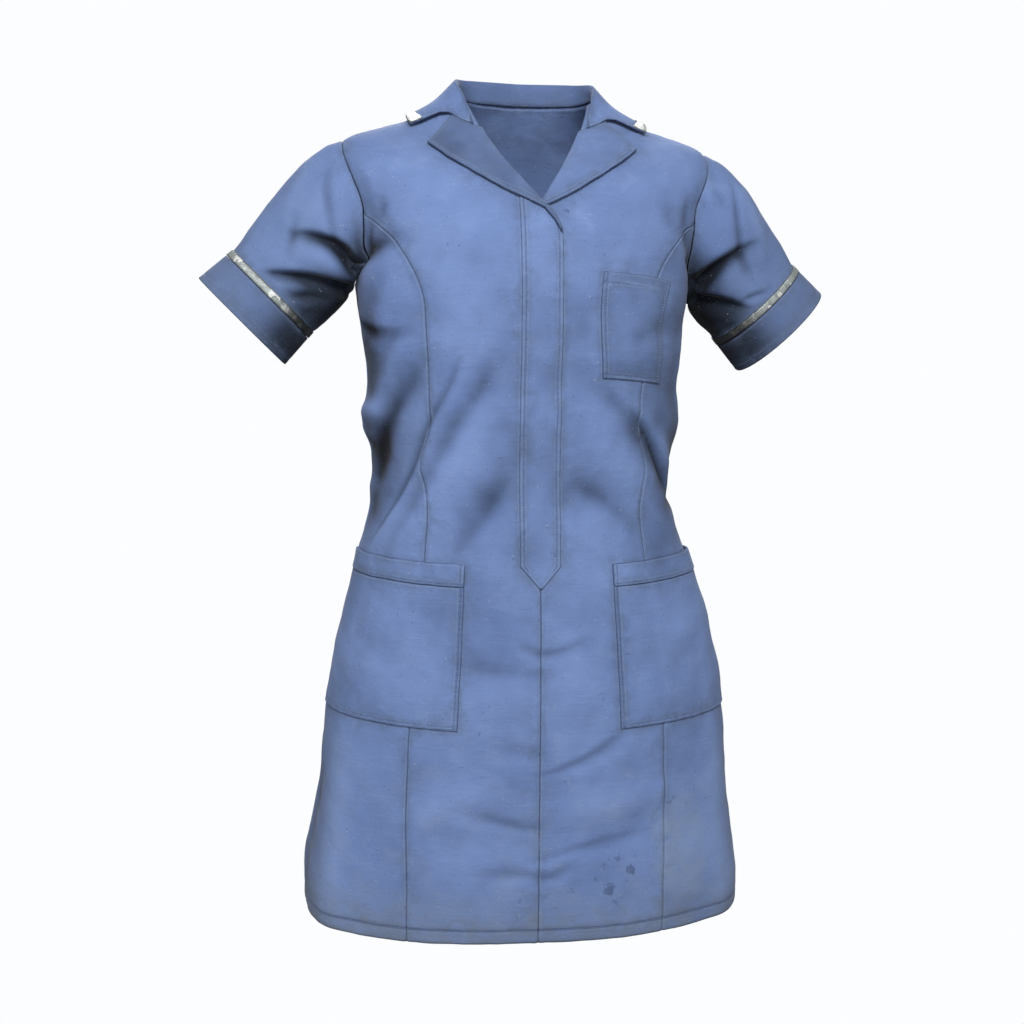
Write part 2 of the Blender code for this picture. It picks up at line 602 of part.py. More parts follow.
def build_collar():
    """The stand and fall in one piece, and the braid along the fall's edge."""
    sections = [collar_section(i / COLLAR_STEPS) for i in range(COLLAR_STEPS + 1)]
    left = np.array(sections).transpose(1, 0, 2)
    right = left[:, -2::-1] * (-1, 1, 1)
    collar = open_patch(np.concatenate((left, right), axis=1))
    wall("collar", collar, -WALL / 2, WALL / 2, "twill")
    on_top("collar_braid", collar.part(slice(0, 2)), BRAID_WALL, cloth="braid")


for old in list(bpy.data.objects):
    bpy.data.objects.remove(old)
body = body_patches()
build_body(body)
build_placket(body)
build_lapels(body)
build_pockets(body)
build_collar()
build_sleeve("left", 1)
build_sleeve("right", -1)
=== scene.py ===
"""Nurse's uniform dress: worn twill cloth, stitching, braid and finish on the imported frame.

Metres, in the frame of the CAD. The bodice and skirt are one surface of closed rings: a ring is
named by its height above the hem at the centre front, and the angle round it runs from 0 at the
centre front over 90 degrees at the wearer's left side to 180 at the centre back. Each cloth piece
is a grid on that surface. A side is 1 on the wearer's left and -1 on the right.
"""
import math

import bpy
import numpy as np
from mathutils import Matrix, Vector
from mathutils.kdtree import KDTree


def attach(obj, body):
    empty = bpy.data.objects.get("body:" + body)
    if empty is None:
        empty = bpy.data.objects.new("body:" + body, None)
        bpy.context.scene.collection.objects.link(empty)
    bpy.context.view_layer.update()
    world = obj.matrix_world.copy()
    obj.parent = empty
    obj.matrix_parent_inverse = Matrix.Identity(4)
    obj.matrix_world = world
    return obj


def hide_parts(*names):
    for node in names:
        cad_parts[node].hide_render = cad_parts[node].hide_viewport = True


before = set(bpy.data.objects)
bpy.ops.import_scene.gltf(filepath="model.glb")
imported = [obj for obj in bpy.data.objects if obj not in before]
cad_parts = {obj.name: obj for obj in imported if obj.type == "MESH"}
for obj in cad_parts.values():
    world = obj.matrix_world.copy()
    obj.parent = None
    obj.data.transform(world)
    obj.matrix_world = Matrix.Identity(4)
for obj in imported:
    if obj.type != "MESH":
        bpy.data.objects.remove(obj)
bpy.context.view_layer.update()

# ---- Sizes, as in the part ----
SHOULDER_HEIGHT = 0.880      # the height above the hem at which z is 0
WALL = 0.0014
DOUBLE_WALL = 0.0024
SEAM_GAP = 0.0003
DRAWN_TOGETHER = 0.00002     # what is left between two panels here, so that no light shows
LAYER_GAP = 0.0004
HEM_DEPTH = 0.015
SIDE = math.pi / 2
HIP_POCKET_FOOT = 0.229
WELT_FOOT = 0.381
HIP_POCKET_TOP = 0.405
CHEST_POCKET_FOOT = 0.603
UNDERARM = 0.712
SHOULDER_TIP = 0.8045
LAPEL_POINT = 0.823
GORGE = 0.855
NECK = 0.872
V_FOOT = 0.776
PRINCESS_TOP = 0.758
ARMHOLE_FRONT = math.radians(24)
ARMHOLE_BACK = math.radians(25)
PLACKET_HALF = 0.0215
CUFF_CENTRE = (0.308, 0.020, 0.658)
CUFF_HALF_HEIGHT = 0.0635
CUFF_HALF_DEPTH = 0.054
CUFF_WIDTH = 0.039
CUFF_FLARE = 0.003
ARM_SLOPE = math.radians(45)
SLEEVE_LENGTH = 0.150
SLEEVE_GIRTH = 0.400
BRAID_WIDTH = 0.0085
BRAID_WALL = 0.0011
FOLD_THICKNESS = 0.0034
CLOSURE_AHEAD = 0.125

# ---- Sizes of what is added here ----
ROW = 0.0030                 # spacing of a grid's rows and columns away from its edges
BACK_COLUMN = 0.0042         # the same, for the columns of the back
SLEEVE_ROW = 0.0024
SLEEVE_COLUMNS = 224
# About how wide each kind of grid is, for the spacing of its columns.
GRID_WIDTH = {"front_centre": 0.125, "front_side": 0.085, "back": 0.440, "lapel": 0.060,
              "hip_pocket": 0.165, "chest_pocket": 0.085}
FRONT_RADIUS = 0.12          # the body's, to turn a gap at the centre front into an angle
SIDE_RADIUS = 0.17           # the same at its sides
SIDE_FRONT_TIP = 0.004       # radians that a side front still measures at its top
CENTRE_SEAM_TOP = V_FOOT - 0.02
CENTRE_SEAM_FADE = 0.01
PRINCESS_FADE = 0.012        # below its top, where the seam runs into the armhole's edge
STITCH = 0.0030              # from one stitch to the next
STITCH_LENGTH = 0.0021
STITCH_LENGTHS = (0.88, 1.06)    # least and greatest, as shares
STITCH_SWAY = 0.00012        # how far a stitch is off its line, as a standard deviation
THREAD = 0.00030             # radius
EDGE_STITCH = 0.0045         # from a row of stitches to the edge it follows
NEAR_STITCH = 0.0016         # the same, for the second row round a hip pocket
WELT_STITCH = 0.0034
LAPEL_STITCH = 0.0055
CUFF_STITCH = 0.0075
POCKET_HEM = 0.0115          # of the chest pocket
POCKET_CROWN = 0.0012        # how far a hip pocket stands out, and how far in from its edges
POCKET_CROWN_REACH = 0.020
CHEST_CROWN = 0.0016
CHEST_CROWN_REACH = 0.014
LAPPING = 0.22               # share of the right lapel that crosses the centre front
LAPPING_RAISED = 0.26        # share of it that is raised over the placket, less and less
LAPEL_TIP = 0.80             # share of a lapel's outer edge at which its point is
LAPEL_POINT_X = 0.112
LAPEL_ROW = 0.02             # share of its length
LAPEL_STAND = ((0.0, 0.3, 1.0), (0.0, 0.0006, 0.0026))    # shares across it, and how far it is off
GORGE_X = 0.083
COLLAR_COLUMNS = 61          # to each side
COLLAR_EDGE_LIFT = 0.003     # how far its edge is off the cloth
COLLAR_STEPS = (3, 4, 6, 3, 3, 5)    # rows from each section of the collar to the next
COLLAR_PULL = (1.0, 0.86, 0.62, 0.36, 0.15, 0.04)    # of its end's columns towards the lapel
COLLAR_PULL_REACH = 0.0120
COLLAR_PULL_FADE = 0.0060
BRAID_ROWS = 4
BRAID_SPREAD = 0.75          # how much wider the collar's braid is at the tips, as a share
BRAID_SPREAD_COLUMNS = 16
BRAID_LIMIT = 9              # rows of the collar that its braid may lie on
SEAM_STEP = 0.0012           # between the points that stand for a seam
SEAM_REACH = 0.030           # how far from a seam the cloth's look still changes

# Painted shade, given as the depth of the fold that looks as dark, and where it lies. The chest
# pocket's darkening is given the same way.
UNDERARM_SHADE = {-1: 0.0060, 1: 0.0082}
SIDE_SHADE_MIDDLE = 0.600
SIDE_SHADE_REACH = 0.175
SIDE_SHADE_SPREAD = 0.60      # radians
SLEEVE_SHADE = 0.0110         # underneath, with its middle and its reach in turns round the sleeve
SLEEVE_SHADE_MIDDLE = 0.465
SLEEVE_SHADE_REACH = 0.155
CUFF_SHADE = 0.22             # all round the cuff, as a share of the sleeve's
NECK_SHADE = 0.0034
FALL_SHADE = 0.15             # on the collar's fall, as a share of the neck's
LAPEL_SHADE = {-1: 0.0036, 1: 0.0018}
POCKET_DARKENING = 0.0016         # how much darker the chest pocket is made all over
WAIST_SHADE = 0.0012          # all round
WAIST_SHADE_MIDDLE = 0.500
WAIST_SHADE_REACH = 0.110

# Each side's word and number, and its grids' edges towards and away from the centre front.
SIDES = (("left", 1, "start", "end"), ("right", -1, "end", "start"))


def table(names, *rows, rest=()):
    """A table of numbers as a dictionary of named columns. A short row ends as rest does."""
    names = names.split()
    rows = [(*row, *rest[len(rest) - len(names) + len(row):]) for row in rows]
    return dict(zip(names, np.array(rows, float).T))


RINGS = table(
    "front_height side_height back_height half_width front_depth back_depth mid power",
    (0.0000, 0.000, 0.000, 0.254, 0.147, 0.152, 0.010, 2.35),
    (0.0350, 0.035, 0.035, 0.254, 0.147, 0.152, 0.010, 2.30),
    (0.1200, 0.121, 0.120, 0.241, 0.143, 0.148, 0.010, 2.15),
    (0.2290, 0.231, 0.229, 0.228, 0.140, 0.145, 0.010, 2.05),
    (0.3200, 0.323, 0.320, 0.211, 0.135, 0.140, 0.009, 2.00),
    (0.4050, 0.409, 0.405, 0.185, 0.129, 0.126, 0.007, 2.00),
    (0.4600, 0.462, 0.460, 0.170, 0.123, 0.112, 0.004, 2.05),
    (0.5100, 0.508, 0.510, 0.167, 0.119, 0.105, 0.002, 2.10),
    (0.5550, 0.548, 0.553, 0.174, 0.120, 0.104, 0.002, 2.15),
    (0.6030, 0.592, 0.600, 0.171, 0.123, 0.106, 0.002, 2.20),
    (0.6500, 0.638, 0.648, 0.176, 0.128, 0.111, 0.002, 2.30),
    (0.7120, 0.700, 0.712, 0.184, 0.127, 0.112, 0.002, 2.25),
    (0.7500, 0.775, 0.775, 0.195, 0.122, 0.106, 0.003, 2.10),
    (0.8045, 0.852, 0.843, 0.198, 0.100, 0.084, 0.006, 2.00),
    (0.8400, 0.877, 0.878, 0.130, 0.066, 0.062, 0.009, 2.00),
    (0.8720, 0.904, 0.905, 0.072, 0.040, 0.042, 0.010, 2.00),
)
ROLL_LINE = table("height x", (0.776, 0.000), (0.797, 0.014), (0.820, 0.030), (0.850, 0.047),
                  (0.880, 0.060), (0.905, 0.069))
POCKET_LINE = table(
    "height x", (0.000, 0.094), (0.229, 0.087), (0.405, 0.078), (0.500, 0.072), (0.597, 0.066),
    (0.715, 0.066), (0.780, 0.090), (0.850, 0.135), (0.905, 0.082))
PRINCESS_LINE = table(
    "height x", (0.000, 0.140), (0.223, 0.138), (0.330, 0.129), (0.420, 0.118), (0.470, 0.114),
    (0.505, 0.121), (0.555, 0.113), (0.600, 0.114), (0.650, 0.117), (0.685, 0.120), (0.705, 0.127),
    (0.726, 0.138), (0.747, 0.154), (0.773, 0.182))
POCKET_OUTER_LINE = table(
    "height x", (0.000, 0.205), (0.229, 0.188), (0.405, 0.154), (0.510, 0.142), (0.594, 0.137),
    (0.703, 0.144), (0.750, 0.168), (0.800, 0.240))
COLLAR = table(
    "turn fold_x fold_y fold_height stand mid_angle mid_ring mid_lift edge_angle edge_ring",
    (0.00, 0.0615, -0.0320, 0.8735, 0.0020, 60, 0.8560, 0.0036, 63, 0.8335),
    (0.12, 0.0675, -0.0230, 0.8915, 0.0040, 68, 0.8550, 0.0045, 70, 0.8360),
    (0.26, 0.0720, -0.0100, 0.9085, 0.0090, 78, 0.8550, 0.0050, 79, 0.8390),
    (0.42, 0.0755, 0.0100, 0.9225, 0.0155, 90, 0.8550, 0.0050, 90, 0.8410),
    (0.70, 0.0580, 0.0440, 0.9310, 0.0230, 126, 0.8550, 0.0060, 124, 0.8380),
    (1.00, 0.0000, 0.0570, 0.9330, 0.0250, 180, 0.8550, 0.0080, 180, 0.8350),
)
STANCE = table(
    "height turn shift", (0.000, -0.8, 0.0010), (0.360, -1.0, 0.0005), (0.450, 0.9, -0.0010),
    (0.600, 1.7, -0.0020), (0.700, 1.2, -0.0030), (0.780, 0.3, -0.0040), (0.940, 0.0, -0.0050))

# Folds and creases of the bodice and skirt, from start to end, as an angle in degrees and a
# height. rise is how far the cloth stands out or in. width is to either side at the start,
# end_width at the end, and steep is the width's share on the fold's left. peak is where along it
# the fold is strongest, and bow is how far its middle swings to the left. These last three are as
# in FOLD_REST where a row leaves them out.
FOLD_REST = (1.0, 0.50, 0)
FOLDS = table(
    "angle height end_angle end_height rise width end_width steep peak bow",
    (-80, 0.715, -43, 0.747, -0.0065, 0.006, 0.017, 0.6, 0.30, 0.004),
    (-74, 0.722, -60, 0.762, -0.0040, 0.006, 0.009, 0.7, 0.30, -0.003),
    (-72, 0.700, -46, 0.728, 0.0030, 0.012, 0.018, 1.0, 0.45),
    (-56, 0.756, -52, 0.788, -0.0030, 0.008, 0.010),
    (-66, 0.640, -50, 0.715, 0.0030, 0.014, 0.014),
    (-86, 0.656, -42, 0.643, -0.0045, 0.007, 0.013, 0.6, 0.25, -0.003),
    (-44, 0.645, -74, 0.572, 0.0035, 0.010, 0.014, 1.0, 0.45),
    (-72, 0.424, -26, 0.618, -0.0038, 0.0040, 0.0034, 1.0, 0.50, -0.006),
    (-69, 0.422, -21, 0.618, 0.0044, 0.016, 0.012, 0.6, 0.50, -0.008),
    (-40, 0.618, -84, 0.448, -0.0045, 0.014, 0.016, 1.0, 0.50, -0.010),
    (-9, 0.628, -60, 0.425, -0.0048, 0.015, 0.016, 0.7, 0.55, -0.004),
    (-14, 0.570, -50, 0.430, 0.0035, 0.014, 0.015),
    (-7, 0.516, -29, 0.414, -0.0034, 0.018, 0.015, 0.6),
    (-3, 0.470, -14, 0.410, 0.0020, 0.010, 0.012),
    (-90, 0.562, -64, 0.566, 0.0055, 0.011, 0.012, 1.0, 0.35),
    (-92, 0.526, -66, 0.520, -0.0028, 0.010, 0.014, 0.8, 0.30),
    (-90, 0.478, -70, 0.484, 0.0030, 0.012, 0.012, 1.0, 0.40),
    (80, 0.700, 60, 0.756, -0.0045, 0.009, 0.013, 0.8, 0.40),
    (61, 0.744, 56, 0.790, -0.0035, 0.005, 0.006, 2.2, 0.45),
    (50, 0.752, 44, 0.782, -0.0025, 0.010, 0.011),
    (70, 0.722, 61, 0.734, -0.0030, 0.005, 0.006, 1.0, 0.40),
    (56, 0.665, 30, 0.640, -0.0020, 0.012, 0.013),
    (15, 0.600, 66, 0.482, -0.0050, 0.014, 0.012, 0.7, 0.60, 0.004),
    (36, 0.564, 66, 0.484, -0.0032, 0.0038, 0.0034, 1.0, 0.50, 0.001),
    (30, 0.575, 72, 0.500, 0.0030, 0.011, 0.010, 1.0, 0.60),
    (15, 0.550, 48, 0.462, 0.0030, 0.014, 0.014),
    (8, 0.500, 38, 0.436, -0.0029, 0.014, 0.012, 0.7, 0.50, 0.006),
    (3, 0.450, 24, 0.415, 0.0020, 0.012, 0.012),
    (70, 0.640, 86, 0.510, 0.0035, 0.015, 0.015),
    (92, 0.475, 62, 0.462, -0.0040, 0.010, 0.013, 1.0, 0.35),
    (-7, 0.322, 0, 0.311, -0.0024, 0.006, 0.006, 1.0, 0.60),
    (0, 0.311, 14, 0.325, -0.0030, 0.006, 0.010, 0.6, 0.35, -0.002),
    (-20, 0.296, 4, 0.286, -0.0018, 0.009, 0.009),
    (0, 0.182, 23, 0.224, -0.0034, 0.005, 0.012, 0.5, 0.55, -0.004),
    (0, 0.090, 26, 0.112, -0.0028, 0.006, 0.012, 0.6, 0.50, 0.004),
    (0, 0.066, 8, 0.086, -0.0030, 0.006, 0.009, 0.7, 0.40),
    (2, 0.135, 40, 0.160, 0.0028, 0.018, 0.020),
    (0, 0.122, -19, 0.142, -0.0027, 0.005, 0.010, 0.8, 0.45),
    (0, 0.073, -12, 0.076, -0.0030, 0.006, 0.011, 0.8, 0.40),
    (0, 0.204, -13, 0.213, -0.0022, 0.007, 0.012, 1.0, 0.40),
    (-9, 0.180, -34, 0.120, 0.0030, 0.020, 0.022),
    (-60, 0.000, -66, 0.210, 0.0060, 0.030, 0.028, 1.0, 0.35),
    (-84, 0.000, -86, 0.190, -0.0045, 0.026, 0.024, 1.0, 0.35),
    (58, 0.000, 62, 0.200, 0.0060, 0.030, 0.028, 1.0, 0.35),
    (84, 0.000, 88, 0.190, -0.0045, 0.026, 0.024, 1.0, 0.35),
    (-70, 0.330, -44, 0.300, -0.0018, 0.012, 0.014),
    (66, 0.330, 44, 0.290, -0.0018, 0.012, 0.014),
    (112, 0.470, 168, 0.520, -0.0060, 0.012, 0.016, 0.6, 0.40, 0.008),
    (104, 0.515, 150, 0.575, 0.0050, 0.016, 0.018, 0.8, 0.40),
    (118, 0.560, 165, 0.630, -0.0035, 0.010, 0.015, 0.7, 0.40),
    (-108, 0.500, -160, 0.455, -0.0060, 0.012, 0.017, 0.6, 0.40, -0.008),
    (-100, 0.545, -146, 0.490, 0.0050, 0.014, 0.018, 0.8, 0.40),
    (-112, 0.590, -158, 0.560, -0.0035, 0.010, 0.014, 0.7, 0.40),
    (96, 0.430, 150, 0.440, -0.0030, 0.010, 0.014, 0.8, 0.40),
    (-96, 0.420, -140, 0.412, -0.0030, 0.010, 0.013, 0.8, 0.40),
    (104, 0.715, 142, 0.770, -0.0050, 0.008, 0.017, 0.6, 0.30),
    (-103, 0.715, -138, 0.780, -0.0050, 0.008, 0.017, 0.6, 0.30),
    (112, 0.690, 134, 0.655, -0.0030, 0.008, 0.013, 0.8, 0.40),
    (-110, 0.680, -136, 0.650, -0.0030, 0.008, 0.013, 0.8, 0.40),
    (150, 0.000, 158, 0.300, 0.0070, 0.032, 0.030, 1.0, 0.35),
    (118, 0.000, 114, 0.240, 0.0045, 0.030, 0.026, 1.0, 0.35),
    (-128, 0.000, -134, 0.280, 0.0070, 0.032, 0.030, 1.0, 0.35),
    (-165, 0.000, -168, 0.220, 0.0050, 0.028, 0.026, 1.0, 0.35),
    (176, 0.300, 140, 0.330, -0.0025, 0.012, 0.015),
    (-176, 0.350, -138, 0.320, -0.0025, 0.012, 0.015),
    rest=FOLD_REST,
)

# The same on the sleeves, as turns round the sleeve (0 on top, a quarter in front, a half
# underneath) and shares of the way from the armhole to the cuff.
SLEEVE_FOLDS = table(
    "side turn along end_turn end_along rise width end_width steep peak bow",
    (-1, 0.43, 0.02, 0.195, 0.60, -0.0135, 0.013, 0.008, 0.45, 0.36, 0.004),
    (-1, 0.46, 0.10, 0.200, 0.97, -0.0140, 0.013, 0.008, 0.45, 0.34, -0.006),
    (-1, 0.36, 0.30, 0.230, 0.72, 0.0040, 0.010, 0.012, 1.0, 0.40),
    (-1, 0.165, 0.52, 0.235, 0.78, -0.0034, 0.006, 0.007, 0.7),
    (-1, 0.135, 0.14, 0.285, 0.36, -0.0036, 0.007, 0.009, 0.6, 0.45, 0.004),
    (-1, 0.07, 0.20, 0.150, 0.55, 0.0035, 0.014, 0.014),
    (-1, 0.30, 0.95, 0.390, 0.62, -0.0050, 0.008, 0.010, 0.6),
    (-1, 0.58, 0.06, 0.780, 0.60, -0.0075, 0.009, 0.012, 0.45, 0.40),
    (-1, 0.52, 0.20, 0.700, 0.95, -0.0070, 0.009, 0.010, 0.5, 0.40),
    (-1, 0.86, 0.25, 0.760, 0.75, 0.0040, 0.013, 0.014),
    (1, 0.43, 0.04, 0.190, 0.60, -0.0140, 0.014, 0.009, 0.45, 0.36, -0.006),
    (1, 0.46, 0.14, 0.315, 0.92, -0.0120, 0.014, 0.011, 0.45, 0.38, 0.004),
    (1, 0.125, 0.24, 0.245, 0.76, -0.0048, 0.007, 0.009, 0.5, 0.50, -0.009),
    (1, 0.175, 0.08, 0.190, 0.24, -0.0026, 0.006, 0.007),
    (1, 0.10, 0.30, 0.170, 0.70, 0.0040, 0.013, 0.013),
    (1, 0.30, 0.84, 0.235, 0.96, -0.0036, 0.005, 0.006, 0.7),
    (1, 0.58, 0.06, 0.800, 0.55, -0.0075, 0.009, 0.012, 0.45, 0.40),
    (1, 0.52, 0.20, 0.690, 0.92, -0.0070, 0.009, 0.010, 0.5, 0.40),
    (1, 0.87, 0.25, 0.780, 0.70, 0.0040, 0.013, 0.014),
    rest=FOLD_REST,
)

# The placket's edges, as rows of share, height and distance towards the wearer's left.
PLACKET_MARKS = (0.0, 0.062, 0.92, 1.0)
PLACKET_LENGTH = 0.4
PLACKET_RIGHT = ((0, WELT_FOOT, -0.001), (0.062, HIP_POCKET_TOP, -PLACKET_HALF),
                 (1, 0.792, -PLACKET_HALF))
PLACKET_LEFT = ((0, WELT_FOOT, 0.001), (0.062, HIP_POCKET_TOP, PLACKET_HALF),
                (0.90, 0.745, PLACKET_HALF), (0.95, 0.762, 0.0185), (0.98, 0.771, 0.010),
                (1, 0.776, 0.002))

# The foot of the right lapel, which crosses the centre front into the placket's edge: its roll
# and its outer edge, as rows of share, height and distance towards the wearer's right.
LAPPING_ROLL = ((0, 0.7495, -0.0203), (0.06, 0.7680, -0.0135), (0.12, 0.7800, -0.0030),
                (LAPPING, 0.7934, 0.0115))
LAPPING_EDGE = ((0, 0.7480, -0.0196), (0.06, 0.7590, -0.0135), (0.12, 0.7720, -0.0035),
                (LAPPING, 0.7845, 0.0225))

# Stains, each at an angle round the body in degrees and a height, with its radius and darkness.
STAINS = table(
    "angle height size depth", (36.5, 0.140, 0.0052, 0.50), (38.5, 0.146, 0.0034, 0.42),
    (43.2, 0.136, 0.0030, 0.42), (15.0, 0.055, 0.0086, 0.62), (21.5, 0.075, 0.0066, 0.60),
    (14.0, 0.080, 0.0042, 0.42), (18.5, 0.089, 0.0046, 0.42), (16.5, 0.040, 0.0044, 0.42),
    (31.3, 0.060, 0.0038, 0.40), (6.0, 0.056, 0.0030, 0.36), (-3.0, 0.047, 0.0032, 0.36),
    (4.5, 0.418, 0.0026, 0.60), (7.5, 0.772, 0.0026, 0.55), (19.8, 0.062, 0.0034, 0.42),
    (23.0, 0.090, 0.0034, 0.40), (12.0, 0.066, 0.0030, 0.36), (-31.5, 0.237, 0.0026, 0.50),
    (-15.8, 0.228, 0.0024, 0.45))
PATCH_PLACE = (39.5, 0.090)  # a greyed patch, as if scrubbed: its middle's angle and height
PATCH_SIZE = 0.046
PATCH_FLAT = 0.62            # its width as a share of its height
SPLASH = 0.0074              # how far the edge of a stain wanders
BLUE = (0.150, 0.224, 0.440)
BLUE_DEEP = (0.110, 0.170, 0.352)
BLUE_FADED_AND_HIGHLIGHT = (0.206, 0.286, 0.492)
BLUE_DULL = (0.120, 0.175, 0.320)
BLUE_WORN_AND_HIGHLIGHT = (0.240, 0.315, 0.470)
GRIME_AND_SHADE = (0.080, 0.110, 0.178)
SEAM_GROOVE_SHADE = (0.024, 0.038, 0.100)
SOIL = (0.150, 0.180, 0.225)
PALE = (0.420, 0.460, 0.500)
STAIN = (0.040, 0.058, 0.125)
PATCH = (0.185, 0.240, 0.350)
BRAID = (0.360, 0.400, 0.390)
BRAID_DULL = (0.150, 0.170, 0.170)
BRAID_HIGHLIGHT = (0.800, 0.830, 0.800)
BRAID_EDGE_SHADE = (0.040, 0.050, 0.060)
TWILL_SCALE = 330.0          # of Blender's wave, which has 20 / 2 pi bands to a unit
BRAID_SCALE = 210.0


# ---- The cloth's surface ----
def hermite(t, start, leaving, end, arriving):
    """Points on the curve that leaves its start and arrives at its end with given slopes."""
    return ((1 + 2 * t) * (1 - t) ** 2 * start + t * (1 - t) ** 2 * leaving
            + t * t * (3 - 2 * t) * end + t * t * (t - 1) * arriving)


def smooth(at, knots, values):
    """The values at some places on a smooth curve through the knots."""
    slopes = np.gradient(values, knots)
    at = np.clip(at, knots[0], knots[-1])
    i = np.clip(np.searchsorted(knots, at) - 1, 0, len(knots) - 2)
    step = knots[i + 1] - knots[i]
    return hermite((at - knots[i]) / step, values[i], step * slopes[i],
                   values[i + 1], step * slopes[i + 1])


def row_at(columns, key, at):
    return {name: smooth(at, columns[key], values) for name, values in columns.items()}


def signed_power(value, power):
    return np.copysign(np.abs(value) ** power, value)


def unit(vectors):
    return vectors / np.maximum(np.linalg.norm(vectors, axis=-1, keepdims=True), 1e-12)


def run(points, axis=0):
    """How far each point of a line or a grid is from the first along an axis."""
    steps = np.linalg.norm(np.diff(points, axis=axis), axis=-1)
    start = np.zeros_like(np.take(steps, [0], axis=axis))
    return np.concatenate((start, np.cumsum(steps, axis=axis)), axis=axis)


def plain_point(height, angle):
    """Points of the body surface before its folds."""
    ring = row_at(RINGS, "front_height", height)
    across, ahead = np.sin(angle), np.cos(angle)
    power = 2 / ring["power"]
    depth = np.where(ahead > 0, ring["front_depth"], ring["back_depth"])
    middle = np.where(ahead > 0, height, ring["back_height"])
    side = ring["side_height"]
    return np.stack((ring["half_width"] * signed_power(across, power),
                     ring["mid"] - depth * signed_power(ahead, power),
                     side + (middle - side) * ahead ** 2 - SHOULDER_HEIGHT), -1)


def fold_rise(across, up, starts, ends, folds):
    """How far out the folds move points, given as metres along the surface's two directions."""
    total = np.zeros(np.shape(across))
    for i in range(len(folds["rise"])):
        fold = {name: values[i] for name, values in folds.items()}
        start, end = starts(fold), ends(fold)
        run_x, run_y = end[0] - start[0], end[1] - start[1]
        length = np.sqrt(run_x ** 2 + run_y ** 2)
        x, y = across - start[0], up - start[1]
        along = (x * run_x + y * run_y) / length
        share = np.clip(along / length, 0.0, 1.0)
        beyond = along - share * length
        left = (run_x * y - run_y * x) / length - fold["bow"] * 4 * share * (1 - share)
        width = fold["width"] + (fold["end_width"] - fold["width"]) * share
        side_width = np.where(left > 0, width * fold["steep"], width)
        # The strength is 1 at the peak, and still above 0 at both ends.
        peak, inner = fold["peak"], 0.04 + 0.92 * share
        rising = peak / (1 - peak)
        strength = (inner ** rising * (1 - inner) / (peak ** rising * (1 - peak))) ** 0.55
        total += fold["rise"] * strength * np.exp(-(left / side_width) ** 2 - (beyond / width) ** 2)
    return total


WAVES = np.random.default_rng(7)
CRUMPLE = [(WAVES.normal(size=3), WAVES.uniform(0, 2 * math.pi), length, rise)
           for count, length, rise in ((5, 0.110, 0.00040), (6, 0.060, 0.00020),
                                       (8, 0.032, 0.00010), (10, 0.018, 0.00005))
           for _ in range(count)]


def crumple(points):
    """The slight unevenness of worn cloth, as waves of random directions."""
    total = np.zeros(points.shape[:-1])
    for direction, phase, length, rise in CRUMPLE:
        wave = points @ (direction / np.linalg.norm(direction)) * (2 * math.pi / length) + phase
        total += rise * np.sin(wave)
    return total


def normals_of(surface, height, angle, step):
    """The outward normals of a surface, from its points a step away."""
    low = np.minimum(height, NECK - step)
    around = surface(low, angle + step) - surface(low, angle - step)
    upward = surface(low + step, angle) - surface(low - step, angle)
    return unit(np.cross(around, upward))


def cloth(height, angle):
    """Points of the worn body surface, with its folds."""
    height, angle = np.broadcast_arrays(np.asarray(height, float), np.asarray(angle, float))
    point = plain_point(height, angle)
    ring = row_at(RINGS, "front_height", height)
    radius = (ring["half_width"] + ring["front_depth"]) / 2
    turn = (angle + math.pi) % (2 * math.pi) - math.pi
    rise = fold_rise(
        turn * radius, point[..., 2] + SHOULDER_HEIGHT,
        lambda fold: (math.radians(fold["angle"]) * radius, fold["height"]),
        lambda fold: (math.radians(fold["end_angle"]) * radius, fold["end_height"]), FOLDS)
    normal = normals_of(plain_point, height, angle, 0.002)
    return point + (rise + crumple(point))[..., None] * normal


def across_angle(height, x):
    """The angles at which rings are a distance x from the centre front."""
    ring = row_at(RINGS, "front_height", height)
    share = np.minimum(np.abs(x) / ring["half_width"], 1.0) ** (ring["power"] / 2)
    return np.copysign(np.arcsin(share), x)


def line_angle(line, height):
    """The angles at which rings cross a line down the front."""
    angle = np.full(np.shape(height), 0.5)
    for _ in range(12):
        z = plain_point(height, angle)[..., 2] + SHOULDER_HEIGHT
        angle = across_angle(height, np.maximum(smooth(z, line["height"], line["x"]), 0.0))
    return angle


def stood(points):
    """Points after the wearer's stance has turned and shifted them."""
    stance = row_at(STANCE, "height", points[..., 2] + SHOULDER_HEIGHT)
    turn = np.radians(stance["turn"])
    x, y = points[..., 0], points[..., 1] + CLOSURE_AHEAD
    return np.stack((x * np.cos(turn) - y * np.sin(turn) + stance["shift"],
                     x * np.sin(turn) + y * np.cos(turn) - CLOSURE_AHEAD, points[..., 2]), -1)


def armhole_opening(height):
    """How far open the armhole is at a ring, from 0 at its foot and its top to 1 half-way."""
    share = np.clip((height - UNDERARM) / (SHOULDER_TIP - UNDERARM), 0.0, 1.0)
    return np.sqrt(np.maximum(1 - (1 - 2 * share) ** 2, 0.0))


def side_angle(height, reach):
    """The side seam, or the armhole's edge at a reach to the front (negative) or the back."""
    return SIDE + reach * armhole_opening(height)


# ---- Grids ----
def spaced(length, step=ROW, start=(), end=()):
    """Shares of a length: even steps, with given distances near its start and near its end."""
    low, high = max(start, default=0.0), length - max(end, default=0.0)
    count = max(1, round((high - low) / step))
    places = [0.0, *start, *(length - distance for distance in end), length]
    places += [low + (high - low) * i / count for i in range(count + 1)]
    return np.unique(np.round(np.array(places) / length, 5))


def marked(*marks, step=ROW):
    """Heights or shares from mark to mark, evenly spaced in between."""
    rows = [marks[0]]
    for low, high in zip(marks, marks[1:]):
        count = max(1, round((high - low) / step))
        rows += [low + (high - low) * i / count for i in range(1, count + 1)]
    return np.array(rows)


